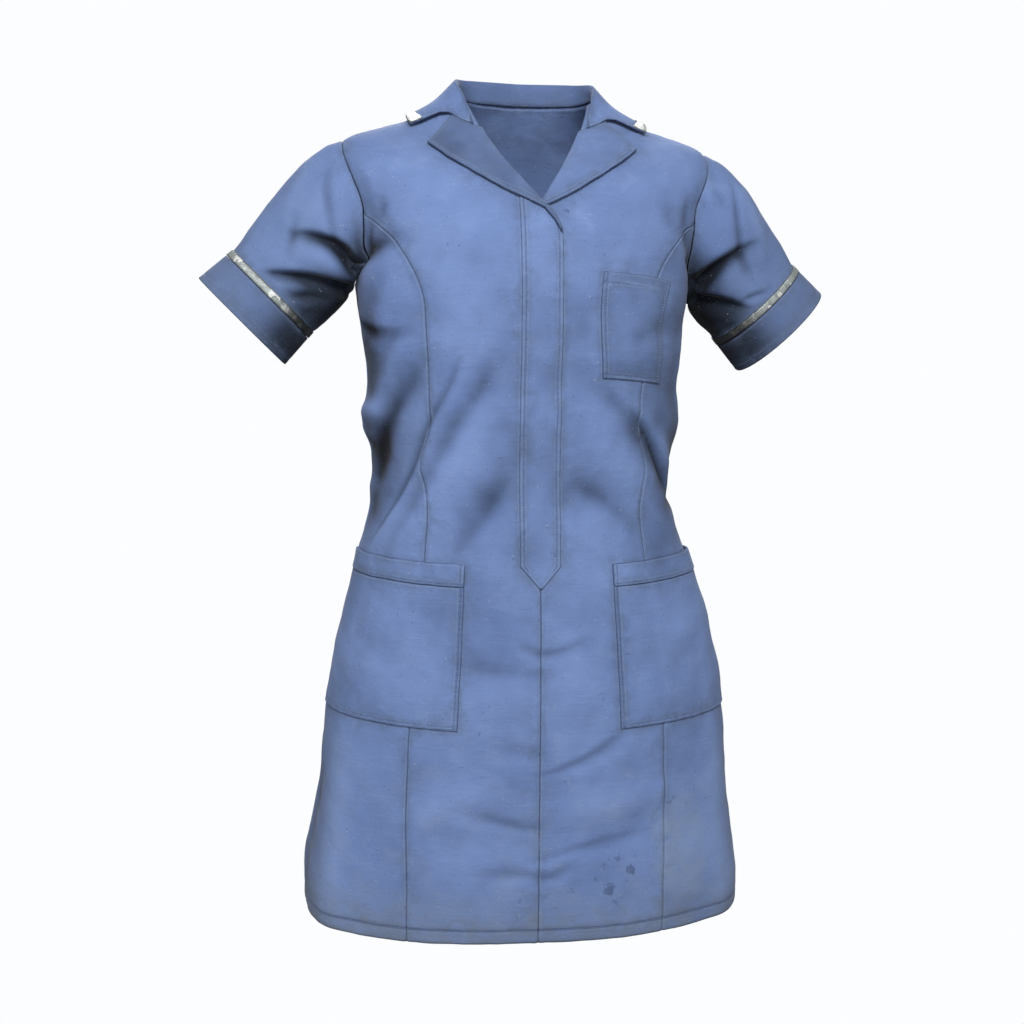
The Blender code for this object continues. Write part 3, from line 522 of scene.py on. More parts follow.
class Sheet:
    """A grid of points on the cloth, row by row, with its outward normals and its folds' rise,
    lowered by any painted shade or darkening.
    """

    def __init__(self, points, tube=False, normals=None, rise=0.0):
        self.points = points
        self.tube = tube
        self.rise = np.broadcast_to(rise, points.shape[:2])
        if normals is None:
            around = np.roll(points, -1, axis=1) - np.roll(points, 1, axis=1)
            if not tube:
                around = np.gradient(points, axis=1)
            normals = unit(np.cross(around, np.gradient(points, axis=0)))
        self.normals = normals

    def mirrored(self):
        flip = np.array((-1.0, 1.0, 1.0))
        return Sheet(self.points[:, ::-1] * flip, self.tube, self.normals[:, ::-1] * flip,
                     self.rise[:, ::-1])

    def out(self, distance):
        return self.points + self.normals * np.broadcast_to(distance, self.rise.shape)[..., None]

    def inside(self, edge):
        """How far each point is inside one edge of the sheet: foot, top, start or end."""
        far = run(self.points, 0 if edge in ("foot", "top") else 1)
        if edge in ("foot", "start"):
            return far
        return far[-1:] - far if edge == "top" else far[:, -1:] - far


def facing(side, grid):
    """A grid of one side with its columns in the order in which they run round the body."""
    return grid if side > 0 else grid[:, ::-1]


def between(side, starts, ends, across):
    """A sheet between two lines on the body, each the heights and the angles of its rows."""
    height = starts[0][:, None] + (ends[0] - starts[0])[:, None] * across
    angle = starts[1][:, None] + (ends[1] - starts[1])[:, None] * across
    points = cloth(height, side * angle)
    folded = points - plain_point(height, side * angle)
    # Painted shade at the sides under the arms and round the waist, taken off the folds' rise.
    painted_shade = UNDERARM_SHADE[side] * np.exp(-((np.abs(angle) - SIDE) / SIDE_SHADE_SPREAD) ** 2
                                        - ((height - SIDE_SHADE_MIDDLE) / SIDE_SHADE_REACH) ** 4)
    painted_shade += WAIST_SHADE * np.exp(-((height - WAIST_SHADE_MIDDLE) / WAIST_SHADE_REACH) ** 2)
    sheet = Sheet(facing(side, points))
    sheet.rise = (sheet.normals * facing(side, folded)).sum(axis=-1) - facing(side, painted_shade)
    return sheet


def cloth_frame(height, angle):
    """Points of the worn surface and the outward normals there."""
    return cloth(height, angle), normals_of(cloth, height, angle, 0.003)


# ---- Pieces ----
PIECES = {}                  # by name: the object, and its outer grid as it stands
SEWN = {}                    # by name: the lines of its rows of stitches


def add_mesh(name, points, faces, material):
    """A smooth object of one material."""
    mesh = bpy.data.meshes.new(name)
    mesh.from_pydata(np.reshape(points, (-1, 3)).tolist(), [], faces)
    mesh.polygons.foreach_set("use_smooth", np.ones(len(faces), bool))
    mesh.materials.append(material)
    made = bpy.data.objects.new(name, mesh)
    bpy.context.collection.objects.link(made)
    return made


def add_piece(name, points, faces, finish):
    piece = add_mesh(name, points, faces, MATERIALS[finish])
    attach(piece, "root")
    return piece


def wall(name, sheet, below=-WALL / 2, above=WALL / 2, relief=0.0, finish="twill"):
    """A piece of cloth as a closed wall, from a distance below a sheet to one above it."""
    outer, inner = stood(sheet.out(above + relief)), stood(sheet.out(below + relief))
    rows, columns = sheet.points.shape[:2]
    count = rows * columns
    index = np.arange(count).reshape(rows, columns)
    if sheet.tube:
        here, beside = index, np.roll(index, -1, axis=1)
        rims = [index[0], index[-1][::-1]]
    else:
        here, beside = index[:, :-1], index[:, 1:]
        rims = [np.concatenate((index[0], index[1:, -1], index[-1, -2::-1], index[-2:0:-1, 0]))]
    faces = [np.stack((here[:-1], beside[:-1], beside[1:], here[1:]), -1).reshape(-1, 4)]
    faces.append(faces[0][:, ::-1] + count)
    for rim in rims:
        after = np.roll(rim, -1)
        faces.append(np.stack((after, rim, rim + count, after + count), -1))
    faces = np.concatenate(faces).tolist()
    piece = add_piece(f"{name}_cloth", np.concatenate((outer, inner)), faces, finish)
    across, up = sheet.inside("start"), sheet.inside("foot")
    cut = np.stack((across - across[:, [columns // 2]], up), -1).reshape(-1, 2)
    corners = np.zeros(len(piece.data.loops), np.int32)
    piece.data.loops.foreach_get("vertex_index", corners)
    layer = piece.data.uv_layers.new(name="cut")
    layer.data.foreach_set("uv", np.tile(cut, (2, 1))[corners].ravel())
    PIECES[name] = (piece, Sheet(outer, sheet.tube, rise=sheet.rise))


def on_top(name, sheet, thickness=WALL, lift=0.0, relief=0.0, finish="twill"):
    """A piece that lies on the cloth of a sheet, raised a little more by lift."""
    below = WALL / 2 + LAYER_GAP + lift
    wall(name, sheet, below, below + thickness, relief, finish)


def dip(distance, depth, width, at=0.0):
    return -depth * np.exp(-((distance - at) / width) ** 2)


def crown(distance, reach):
    """0 at an edge, rising to 1 well inside it."""
    return 1 - np.exp(-(distance / reach) ** 2)


def seam_relief(distance):
    """The groove of a seam and the slight ridge of its turnings."""
    return dip(distance, 0.0008, 0.0011) - dip(distance, 0.0004, 0.0022, 0.0042)


def stitched_relief(distance, at=EDGE_STITCH):
    """A turned edge, rounded, with a row of stitches pulled into it."""
    return dip(distance, 0.0005, 0.0007) + dip(distance, 0.0004, 0.0009, at)


# Distances from an edge at which a grid has columns or rows.
SEAM_COLUMNS = (0.0007, 0.0015, 0.0026, 0.0042, 0.0064)
STITCH_COLUMNS = (0.0006, 0.0016, 0.0030, 0.0038, 0.0045, 0.0052, 0.0062)
POCKET_TOP_ROWS = (0.0007, 0.0016, 0.004, 0.0105, 0.0115, 0.0125)
CUFF_HEAD_ROWS = (0.0007, 0.0016)
CUFF_FOOT_ROWS = (0.0006, 0.0014, 0.0065, 0.0075, 0.0085)


def princess_angle(height):
    """The seam between a centre front and its side front, and the armhole's edge above it."""
    side = side_angle(height, -ARMHOLE_FRONT)
    fade = np.clip((PRINCESS_TOP - height) / PRINCESS_FADE, 0.0, 1.0)
    return side - (side - np.minimum(line_angle(PRINCESS_LINE, height), side)) * fade


def front_edge(height):
    """The centre front, and the roll line above the V neck's foot."""
    return np.where(height > V_FOOT, line_angle(ROLL_LINE, height), 0.0)


def panel_rows(top):
    hem = (0.0, HEM_DEPTH - 0.0012, HEM_DEPTH, HEM_DEPTH + 0.0012)
    return marked(*hem, V_FOOT, SHOULDER_TIP, top) if top > V_FOOT else marked(*hem, top)


def panel_relief(sheet, *seams):
    """The hem's foot and its stitches, and the seams at some edges."""
    up = sheet.inside("foot")
    hem = dip(up, 0.0005, 0.0008) + dip(up, 0.0006, 0.0011, HEM_DEPTH)
    return sum((seam_relief(sheet.inside(edge)) for edge in seams), hem)


def build_body():
    """The five panels, with the hem turned up inside them."""
    front_gap, side_gap = DRAWN_TOGETHER / 2 / FRONT_RADIUS, DRAWN_TOGETHER / 2 / SIDE_RADIUS
    centre, side_front, back = (
        spaced(GRID_WIDTH[kind], step, SEAM_COLUMNS, SEAM_COLUMNS)
        for kind, step in (("front_centre", ROW), ("front_side", ROW), ("back", BACK_COLUMN)))
    for word, side, inner, outer in SIDES:
        rows = panel_rows(NECK)
        sheet = between(side, (rows, front_edge(rows) + front_gap),
                        (rows, princess_angle(rows) - side_gap), centre)
        below_v = np.clip((CENTRE_SEAM_TOP - rows) / CENTRE_SEAM_FADE, 0.0, 1.0)[:, None]
        relief = panel_relief(sheet, outer) + seam_relief(sheet.inside(inner)) * below_v
        wall(f"front_centre_{word}", sheet, relief=relief)
        rows = panel_rows(PRINCESS_TOP)
        seam = princess_angle(rows)
        side_line = np.maximum(side_angle(rows, -ARMHOLE_FRONT) - side_gap, seam + SIDE_FRONT_TIP)
        sheet = between(side, (rows, seam + side_gap), (rows, side_line), side_front)
        wall(f"front_side_{word}", sheet, relief=panel_relief(sheet, "start", "end"))
    rows = panel_rows(NECK)
    side_line = side_angle(rows, ARMHOLE_BACK) + side_gap
    sheet = between(1, (rows, side_line), (rows, 2 * math.pi - side_line), back)
    wall("back", sheet, relief=panel_relief(sheet, "start", "end"))


def x_line(points, shares):
    """A line on the front from rows of share, height and distance from the centre front."""
    share, height, x = np.array(points, float).T
    height, x = np.interp(shares, share, height), np.interp(shares, share, x)
    return height, across_angle(height, x)


def build_placket():
    """The strip over the front's closure, which ends in a point and turns into the lapel."""
    shares = marked(*PLACKET_MARKS, step=ROW / PLACKET_LENGTH)
    across = spaced(2 * PLACKET_HALF, start=STITCH_COLUMNS, end=STITCH_COLUMNS)
    sheet = between(1, x_line(PLACKET_RIGHT, shares), x_line(PLACKET_LEFT, shares), across)
    on_top("placket", sheet, relief=sum(stitched_relief(sheet.inside(edge))
                                        for edge in ("start", "end", "foot")))


LAPEL_TOPS = {}              # by side: the line at which the collar's end is sewn to the lapel


def build_lapels():
    """Each front's top edge, rolled over at the neck and folded back. The right one laps over."""
    shares = marked(*(row[0] for row in LAPPING_ROLL), LAPEL_TIP, 1.0, step=LAPEL_ROW)
    across = spaced(GRID_WIDTH["lapel"], start=(0.001, 0.002), end=STITCH_COLUMNS)
    roll_height = V_FOOT + (GORGE - V_FOOT) * shares
    middle = WALL + LAYER_GAP
    for word, side, _, outer in SIDES:
        roll = (roll_height, front_edge(roll_height))
        foot = ((0, V_FOOT - 0.001, 0.003),)
        over = np.zeros(len(shares))
        if side < 0:
            lapping = x_line(LAPPING_ROLL, shares)
            roll = tuple(np.where(shares < LAPPING, *pair) for pair in zip(lapping, roll))
            foot = LAPPING_EDGE
            over = middle * np.clip(1 - shares / LAPPING_RAISED, 0.0, 1.0) ** 0.5
        edge = x_line((*foot, (LAPEL_TIP, LAPEL_POINT, LAPEL_POINT_X),
                       (1, GORGE - 0.0005, GORGE_X)), shares)
        sheet = between(side, roll, edge, across)
        points, normals, rise = (facing(side, grid)
                                 for grid in (sheet.points, sheet.normals, sheet.rise))
        stand = middle + np.interp(across, *LAPEL_STAND) + over[:, None]
        lying = points + normals * stand[..., None]
        LAPEL_TOPS[side] = lying[-1] + normals[-1] * WALL / 2
        away = unit(points[:, 0] - points[:, 2])
        rolled = [points[:, 0] + away * middle * math.sin(turn)
                  + normals[:, 0] * (middle * math.cos(turn) + over[:, None])
                  for turn in np.radians((180, 150, 120, 90, 60, 30))]
        grid = np.concatenate((np.stack(rolled, 1), lying), axis=1)
        rise = np.concatenate((np.repeat(rise[:, :1], len(rolled), axis=1), rise), axis=1)
        # Painted shade on the lapels, more on the right one.
        sheet = Sheet(facing(side, grid), rise=facing(side, rise) - LAPEL_SHADE[side])
        relief = stitched_relief(sheet.inside(outer), LAPEL_STITCH)
        wall(f"lapel_{word}", sheet, relief=relief)


def build_pockets():
    """A hip pocket with its welt on each side, and the chest pocket on the left."""
    across = spaced(GRID_WIDTH["hip_pocket"], start=STITCH_COLUMNS)
    for word, side, inner, outer in SIDES:
        for name, low, high, thickness in (
                ("hip_pocket", HIP_POCKET_FOOT, WELT_FOOT, WALL),
                ("hip_welt", WELT_FOOT + SEAM_GAP, HIP_POCKET_TOP, DOUBLE_WALL)):
            rows = low + (high - low) * spaced(high - low, ROW, STITCH_COLUMNS, SEAM_COLUMNS[:3])
            side_line = side_angle(rows, -ARMHOLE_FRONT) - 2 * SEAM_GAP / SIDE_RADIUS
            sheet = between(side, (rows, line_angle(POCKET_LINE, rows)), (rows, side_line), across)
            foot, top = sheet.inside("foot"), sheet.inside("top")
            relief = stitched_relief(sheet.inside(inner))
            if name == "hip_pocket":
                relief = relief + stitched_relief(foot) + dip(top, 0.0005, 0.001)
                full = np.interp(rows, (low, low + 0.03, high), (0.0, 0.7, 1.0))
            else:
                relief = relief + dip(top, 0.0006, 0.0008) + dip(foot, 0.0006, 0.0009)
                full = np.interp(rows, (low, high), (1.0, 2.2))
            lift = POCKET_CROWN * full[:, None]
            for edge in (inner, outer):
                lift = lift * crown(sheet.inside(edge), POCKET_CROWN_REACH)
            on_top(f"{name}_{word}", sheet, thickness, lift, relief)
    low, high = CHEST_POCKET_FOOT, UNDERARM
    rows = low + (high - low) * spaced(high - low, ROW, STITCH_COLUMNS, POCKET_TOP_ROWS)
    across = spaced(GRID_WIDTH["chest_pocket"], start=STITCH_COLUMNS, end=STITCH_COLUMNS)
    sheet = between(1, (rows, line_angle(POCKET_LINE, rows)),
                    (rows, line_angle(POCKET_OUTER_LINE, rows)), across)
    relief = sum(stitched_relief(sheet.inside(edge)) for edge in ("start", "end", "foot"))
    top = sheet.inside("top")
    relief = relief + dip(top, 0.0005, 0.0008) + dip(top, 0.0005, 0.001, POCKET_HEM)
    aside = np.minimum(sheet.inside("start"), sheet.inside("end"))
    full = np.interp(rows, (low, low + 0.02, high), (0, 0.5, 1))
    # The chest pocket is made darker all over.
    sheet.rise = sheet.rise - POCKET_DARKENING
    on_top("chest_pocket", sheet, WALL,
           CHEST_CROWN * crown(aside, CHEST_CROWN_REACH) * full[:, None], relief)


def armhole_edge(side, turns):
    """The armhole from the shoulder tip down the front and up the back, as if on the left."""
    height = UNDERARM + (SHOULDER_TIP - UNDERARM) * (1 + np.cos(turns)) / 2
    reach = np.where(turns <= math.pi, -ARMHOLE_FRONT, ARMHOLE_BACK) * np.abs(np.sin(turns))
    return cloth(height, side * (SIDE + reach)) * (side, 1, 1)


def cuff_ring(back, turns):
    """A ring of the sleeve's end at a distance back from the cuff's opening."""
    along = np.array((math.cos(ARM_SLOPE), 0.0, -math.sin(ARM_SLOPE)))
    upward = np.array((math.sin(ARM_SLOPE), 0.0, math.cos(ARM_SLOPE)))
    centre = np.array(CUFF_CENTRE) - (0, 0, SHOULDER_HEIGHT) - along * back
    narrower = CUFF_FLARE * back / CUFF_WIDTH
    return (centre + np.outer(np.cos(turns), upward) * (CUFF_HALF_HEIGHT - narrower)
            - np.outer(np.sin(turns), (0, 1, 0)) * (CUFF_HALF_DEPTH - narrower))


def sleeve_rings(side, shares, turns):
    """Rings of the sleeve from the armhole to the braid, with its folds, as if on the left."""
    up, forward = np.cos(turns)[:, None], np.sin(turns)[:, None] * (0, 0.25, 0)
    loop = armhole_edge(side, turns) + (DRAWN_TOGETHER + WALL * (1 - up) / 2) * (1, 0, 0)
    end = cuff_ring(CUFF_WIDTH + BRAID_WIDTH, turns)
    length = np.linalg.norm(end - loop, axis=1, keepdims=True)
    # The sleeve's course out and down, and how it turns where it leaves the armhole and arrives.
    course = np.array((0.71, 0, -0.70))
    leaving = unit(course + up * (0.19, 0, 0.40) - forward) * length
    arriving = unit(course - up * (0.10, 0, 0.10)) * length
    shares = np.asarray(shares)
    rings = hermite(shares[:, None, None], loop, leaving, end, arriving)
    own = SLEEVE_FOLDS["side"] == side
    folds = {name: values[own] for name, values in SLEEVE_FOLDS.items()}
    around = np.broadcast_to(turns / (2 * math.pi) * SLEEVE_GIRTH, rings.shape[:2])
    along = np.broadcast_to(shares[:, None] * SLEEVE_LENGTH, rings.shape[:2])
    rise = fold_rise(
        around, along,
        lambda fold: (fold["turn"] * SLEEVE_GIRTH, fold["along"] * SLEEVE_LENGTH),
        lambda fold: (fold["end_turn"] * SLEEVE_GIRTH, fold["end_along"] * SLEEVE_LENGTH), folds)
    # The folds come up within a tenth of the armhole, and are gone at the braid.
    fade = np.clip(np.minimum(shares / 0.10, (1 - shares) / 0.08), 0.0, 1.0)[:, None]
    rise = (rise + crumple(rings * (side, 1, 1))) * fade
    return rings + Sheet(rings, tube=True).normals * rise[..., None], rise


def build_sleeve(word, side):
    """A set-in sleeve with its braid and its cuff."""
    turns = np.linspace(0, 2 * math.pi, SLEEVE_COLUMNS, endpoint=False)
    rings, rise = sleeve_rings(side, spaced(SLEEVE_LENGTH, SLEEVE_ROW, SEAM_COLUMNS), turns)
    band = np.linspace(CUFF_WIDTH + BRAID_WIDTH, CUFF_WIDTH, BRAID_ROWS)
    cuff_backs = CUFF_WIDTH * (1 - spaced(CUFF_WIDTH, ROW, CUFF_HEAD_ROWS, CUFF_FOOT_ROWS))
    under_braid, cuff = (np.array([cuff_ring(back, turns) for back in backs])
                         for backs in (band, cuff_backs))
    # Painted shade underneath the sleeve, its braid and its cuff, and a little all round the cuff.
    below = (turns / (2 * math.pi) - SLEEVE_SHADE_MIDDLE) / SLEEVE_SHADE_REACH
    painted_shade = np.exp(-below ** 4)
    rise = np.concatenate((rise, np.zeros((BRAID_ROWS - 1, len(turns))))) - SLEEVE_SHADE * painted_shade
    sleeve = Sheet(np.concatenate((rings, under_braid[1:])), tube=True, rise=rise)
    cuff = Sheet(cuff, tube=True, rise=-SLEEVE_SHADE * (CUFF_SHADE + (1 - CUFF_SHADE) * painted_shade))
    braid = Sheet(under_braid, tube=True, rise=-SLEEVE_SHADE * painted_shade)
    if side < 0:
        sleeve, cuff, braid = sleeve.mirrored(), cuff.mirrored(), braid.mirrored()
    wall(f"sleeve_{word}", sleeve, relief=seam_relief(sleeve.inside("foot")))
    top = cuff.inside("top")
    relief = (dip(top, 0.0006, 0.0008) + dip(top, 0.0005, 0.0009, CUFF_STITCH)
              + dip(cuff.inside("foot"), 0.0005, 0.0009))
    cuff.points[0] += unit(cuff.points[1] - cuff.points[0]) * 2 * SEAM_GAP
    wall(f"cuff_{word}", cuff, -WALL / 2, DOUBLE_WALL - WALL / 2, relief)
    on_top(f"sleeve_braid_{word}", braid, BRAID_WALL, finish="braid")


def collar_sections(side, turns):
    """The collar's sections, as if on the left, from the fall's edge over the fold to the foot."""
    row = row_at(COLLAR, "turn", turns)
    (middle, middle_normal), (edge, edge_normal) = (
        cloth_frame(row[f"{name}_ring"], side * np.radians(row[f"{name}_angle"]))
        for name in ("mid", "edge"))
    middle = middle + middle_normal * (WALL + LAYER_GAP + row["mid_lift"])[:, None]
    edge = edge + edge_normal * (WALL + LAYER_GAP + COLLAR_EDGE_LIFT)
    middle, edge = middle * (side, 1, 1), edge * (side, 1, 1)
    fold = np.stack((row["fold_x"], row["fold_y"], row["fold_height"] - SHOULDER_HEIGHT), -1)
    outward = unit((middle - fold) * (1, 1, 0)) * FOLD_THICKNESS
    drop = np.array((0, 0, FOLD_THICKNESS / 2))
    braid_head = edge + unit(middle - edge) * BRAID_WIDTH
    foot = fold - row["stand"][:, None] * (0, 0, 1)
    return np.stack((edge, braid_head, middle, fold + outward - drop, fold + outward / 2,
                     fold - drop, foot))


def splined(knots, counts):
    """Points on a smooth curve through rows of knots, with the count of steps between each two."""
    far = run(knots).mean(axis=1)
    places = np.concatenate([low + (high - low) * np.arange(count) / count
                             for low, high, count in zip(far, far[1:], counts)] + [far[-1:]])
    slopes = np.gradient(knots, far, axis=0)
    i = np.clip(np.searchsorted(far, places, side="right") - 1, 0, len(far) - 2)
    step = (far[i + 1] - far[i])[:, None, None]
    t = (places - far[i])[:, None, None] / step
    return hermite(t, knots[i], step * slopes[i], knots[i + 1], step * slopes[i + 1])


def build_collar():
    """The stand and fall in one piece, and the braid along the fall's edge."""
    turns = np.linspace(0, 1, COLLAR_COLUMNS)
    left, right = (splined(collar_sections(side, turns), COLLAR_STEPS) for side in (1, -1))
    collar = Sheet(np.concatenate((left, right[:, -2::-1] * (-1, 1, 1)), axis=1))
    # Its ends are drawn to the tops of the lapels, where they are sewn.
    finer = np.linspace(0, 1, 12)[:, None]
    for side, first in ((1, 0), (-1, -1)):
        top = LAPEL_TOPS[side]
        top = np.concatenate([start + (end - start) * finer for start, end in zip(top, top[1:])])
        ends = collar.points[:, first] + collar.normals[:, first] * WALL / 2
        apart = top[None] - ends[:, None]
        nearest = np.linalg.norm(apart, axis=-1).argmin(axis=1)
        pull = apart[np.arange(len(ends)), nearest]
        far = np.linalg.norm(pull, axis=-1, keepdims=True)
        pull *= np.clip((COLLAR_PULL_REACH - far) / COLLAR_PULL_FADE, 0.0, 1.0)
        for i, share in enumerate(COLLAR_PULL):
            collar.points[:, first + side * i] += pull * share
    # Painted shade inside the neck, over the stand and the fold, and a little on the fall.
    past_fold = (np.arange(len(collar.points)) - sum(COLLAR_STEPS[:3])) / COLLAR_STEPS[3]
    painted_shade = NECK_SHADE * np.clip(past_fold, FALL_SHADE, 1.0)
    collar = Sheet(collar.points, rise=-painted_shade[:, None])
    wall("collar", collar, relief=dip(collar.inside("foot"), 0.0003, 0.0008))
    # The braid lies on the first rows of the fall, and is wider at its tips.
    far = run(collar.points[:BRAID_LIMIT])
    columns = np.arange(far.shape[1])
    to_end = np.minimum(columns, columns[::-1]) / BRAID_SPREAD_COLUMNS
    widths = far[COLLAR_STEPS[0]] * (1 + BRAID_SPREAD * np.clip(1.1 - to_end, 0.0, 1.0))
    points, normals = (
        np.stack([[np.interp(widths[j] * np.linspace(0, 1, BRAID_ROWS), far[:, j], line)
                   for line in grid[:BRAID_LIMIT, j].T] for j in columns]).transpose(2, 0, 1)
        for grid in (collar.points, collar.normals))
    on_top("collar_braid", Sheet(points, normals=unit(normals)), BRAID_WALL, finish="braid")


# ---- Stitches ----
def resampled(line, normals, step):
    """Points at a step along a line, with its normals."""
    far = run(line)
    places = np.arange(step / 2, far[-1], step)
    points, normals = (np.stack([np.interp(places, far, values) for values in each.T], 1)
                       for each in (line, normals))
    return points, unit(normals)


def inset_line(sheet, edge, inset):
    """The line on a sheet that keeps a distance inside one of its edges."""
    far, points, normals = sheet.inside(edge), sheet.points, sheet.normals
    if edge in ("foot", "top"):
        far, points, normals = (grid.swapaxes(0, 1) for grid in (far, points, normals))
    if edge in ("end", "top"):
        far, points, normals = (grid[:, ::-1] for grid in (far, points, normals))
    place = np.array([np.searchsorted(row, inset) for row in far]).clip(1, far.shape[1] - 1)
    row = np.arange(len(far))
    low, high = far[row, place - 1], far[row, place]
    share = ((inset - low) / (high - low))[:, None].clip(0, 1)
    points, normals = (grid[row, place - 1] * (1 - share) + grid[row, place] * share
                       for grid in (points, normals))
    return points, unit(normals)


# A stitch's sections: the share of its length, and its middle's height and its radius, in threads.
STITCH_SECTIONS = ((0, -1.1, 0.55), (0.22, 0.30, 1.0), (0.78, 0.30, 1.0), (1, -1.1, 0.55))
STITCH_SIDES = 6


def sew(name, *rows):
    """Rows of stitches on a piece: the edge, the inset, and the part of the edge, if not all."""
    sheet = PIECES[name][1]
    starts, ends, ups = [], [], []
    for edge, inset, *part in rows:
        line, normals = inset_line(sheet, edge, inset)
        first, last = part or (0.0, 1.0)
        used = slice(int(first * len(line)), math.ceil(last * len(line)))
        line, normals = line[used], normals[used]
        if sheet.tube:
            line, normals = (np.concatenate((each, each[:1])) for each in (line, normals))
        SEWN.setdefault(name, []).append(resampled(line, normals, SEAM_STEP)[0])
        points, normals = resampled(line, normals, STITCH)
        count = len(points)
        forward = unit(np.gradient(points, axis=0))
        sway = np.cross(normals, forward) * UNEVEN.normal(0, STITCH_SWAY, count)[:, None]
        half = forward * (STITCH_LENGTH / 2 * UNEVEN.uniform(*STITCH_LENGTHS, count))[:, None]
        starts.append(points + sway - half)
        ends.append(points + sway + half)
        ups.append(normals)
    start, end, up = (np.concatenate(each) for each in (starts, ends, ups))
    beside = unit(np.cross(up, end - start))
    turns = np.linspace(0, 2 * math.pi, STITCH_SIDES, endpoint=False)[:, None]
    around = beside[:, None] * np.cos(turns) + up[:, None] * np.sin(turns)
    rings = [(start + (end - start) * share + up * THREAD * lift)[:, None] + around * THREAD * size
             for share, lift, size in STITCH_SECTIONS]
    points = np.stack(rings, 1)
    index = np.arange(points[..., 0].size).reshape(points.shape[:3])
    after = np.roll(index, -1, axis=2)
    sides = np.stack((index[:, :-1], index[:, 1:], after[:, 1:], after[:, :-1]), -1)
    faces = sides.reshape(-1, 4).tolist() + index[:, 0].tolist() + index[:, -1, ::-1].tolist()
    add_piece(f"{name}_stitches", points, faces, "thread")


# ---- Finishes ----
class Look:
    """A material and the nodes that colour it."""

    def __init__(self, name):
        self.material = bpy.data.materials.new(name)
        self.material.use_nodes = True
        self.tree = self.material.node_tree
        self.shader = self.tree.nodes["Principled BSDF"]
        self.place = self.node("TexCoord").outputs["Object"]
        self.cut = self.node("UVMap", uv_map="cut").outputs["UV"]

    def node(self, kind, **settings):
        node = self.tree.nodes.new("ShaderNode" + kind)
        for name, value in settings.items():
            setattr(node, name, value)
        return node

    def put(self, socket, value):
        if isinstance(value, bpy.types.NodeSocket):
            self.tree.links.new(value, socket)
        else:
            socket.default_value = value

    def fill(self, node, **values):
        """Sets a node's inputs by name, with _ for each space."""
        for name, value in values.items():
            self.put(node.inputs[name.replace("_", " ")], value)
        return node

    def fill_in_order(self, node, *values):
        for socket, value in zip(node.inputs, values):
            self.put(socket, value)
        return node.outputs[0]

    def maths(self, operation, *values):
        return self.fill_in_order(self.node("Math", operation=operation), *values)

    def times(self, first, second):
        return self.maths("MULTIPLY", first, second)

    def ramp(self, value, low, high, start=0.0, end=1.0):
        """The value, smoothly carried from low..high to start..end."""
        node = self.node("MapRange", interpolation_type="SMOOTHSTEP")
        self.fill(node, Value=value, From_Min=low, From_Max=high, To_Min=start, To_Max=end)
        return node.outputs["Result"]

    def stretched(self, vector, scale, offset=(0, 0, 0)):
        node = self.fill(self.node("Mapping"), Vector=vector, Scale=scale, Location=offset)
        return node.outputs[0]

    def noise(self, scale, detail=2.0, rough=0.5, vector=None, warp=0.0):
        node = self.fill(self.node("TexNoise"), Vector=self.place if vector is None else vector,
                         Scale=scale, Detail=detail, Roughness=rough, Distortion=warp)
        return node.outputs["Fac"]

    def ribs(self, direction, **values):
        """Straight ribs across the cut of the cloth."""
        node = self.node("TexWave", wave_type="BANDS", bands_direction=direction,
                         wave_profile="SIN")
        return self.fill(node, Vector=self.cut, **values).outputs["Fac"]

    def mix(self, share, below, above, blend="MIX"):
        node = self.node("Mix", data_type="RGBA", blend_type=blend)
        colours = [socket for socket in node.inputs if socket.type == "RGBA"]
        self.put(node.inputs["Factor"], share)
        for socket, value in zip(colours, (below, above)):
            self.put(socket, value if isinstance(value, bpy.types.NodeSocket) else (*value, 1.0))
        return next(socket for socket in node.outputs if socket.type == "RGBA")

    def coat(self, colour, where, share, tone):
        """The colour, covered by up to a share of a tone where a value is high."""
        return self.mix(self.times(where, share), colour, tone)

    def bump(self, height, distance, strength, under=None):
        node = self.fill(self.node("Bump"), Height=height, Distance=distance, Strength=strength)
        if under is not None:
            self.put(node.inputs["Normal"], under)
        return node.outputs["Normal"]

    def axes(self):
        return self.fill(self.node("SeparateXYZ"), Vector=self.place).outputs

    def attribute(self, name):
        return self.node("Attribute", attribute_name=name).outputs["Fac"]

    def spot(self, at, size, vector):
        """1 at a place, fading to 0 at a distance round it."""
        away = self.node("VectorMath", operation="DISTANCE")
        self.fill_in_order(away, vector, at)
        return self.ramp(away.outputs["Value"], size * 0.55, size, 1.0, 0.0)


def stain_place(angle, height):
    """Where a stain is, in the splashed coordinates of the cloth's look."""
    return stood(cloth(height, math.radians(angle))) + SPLASH


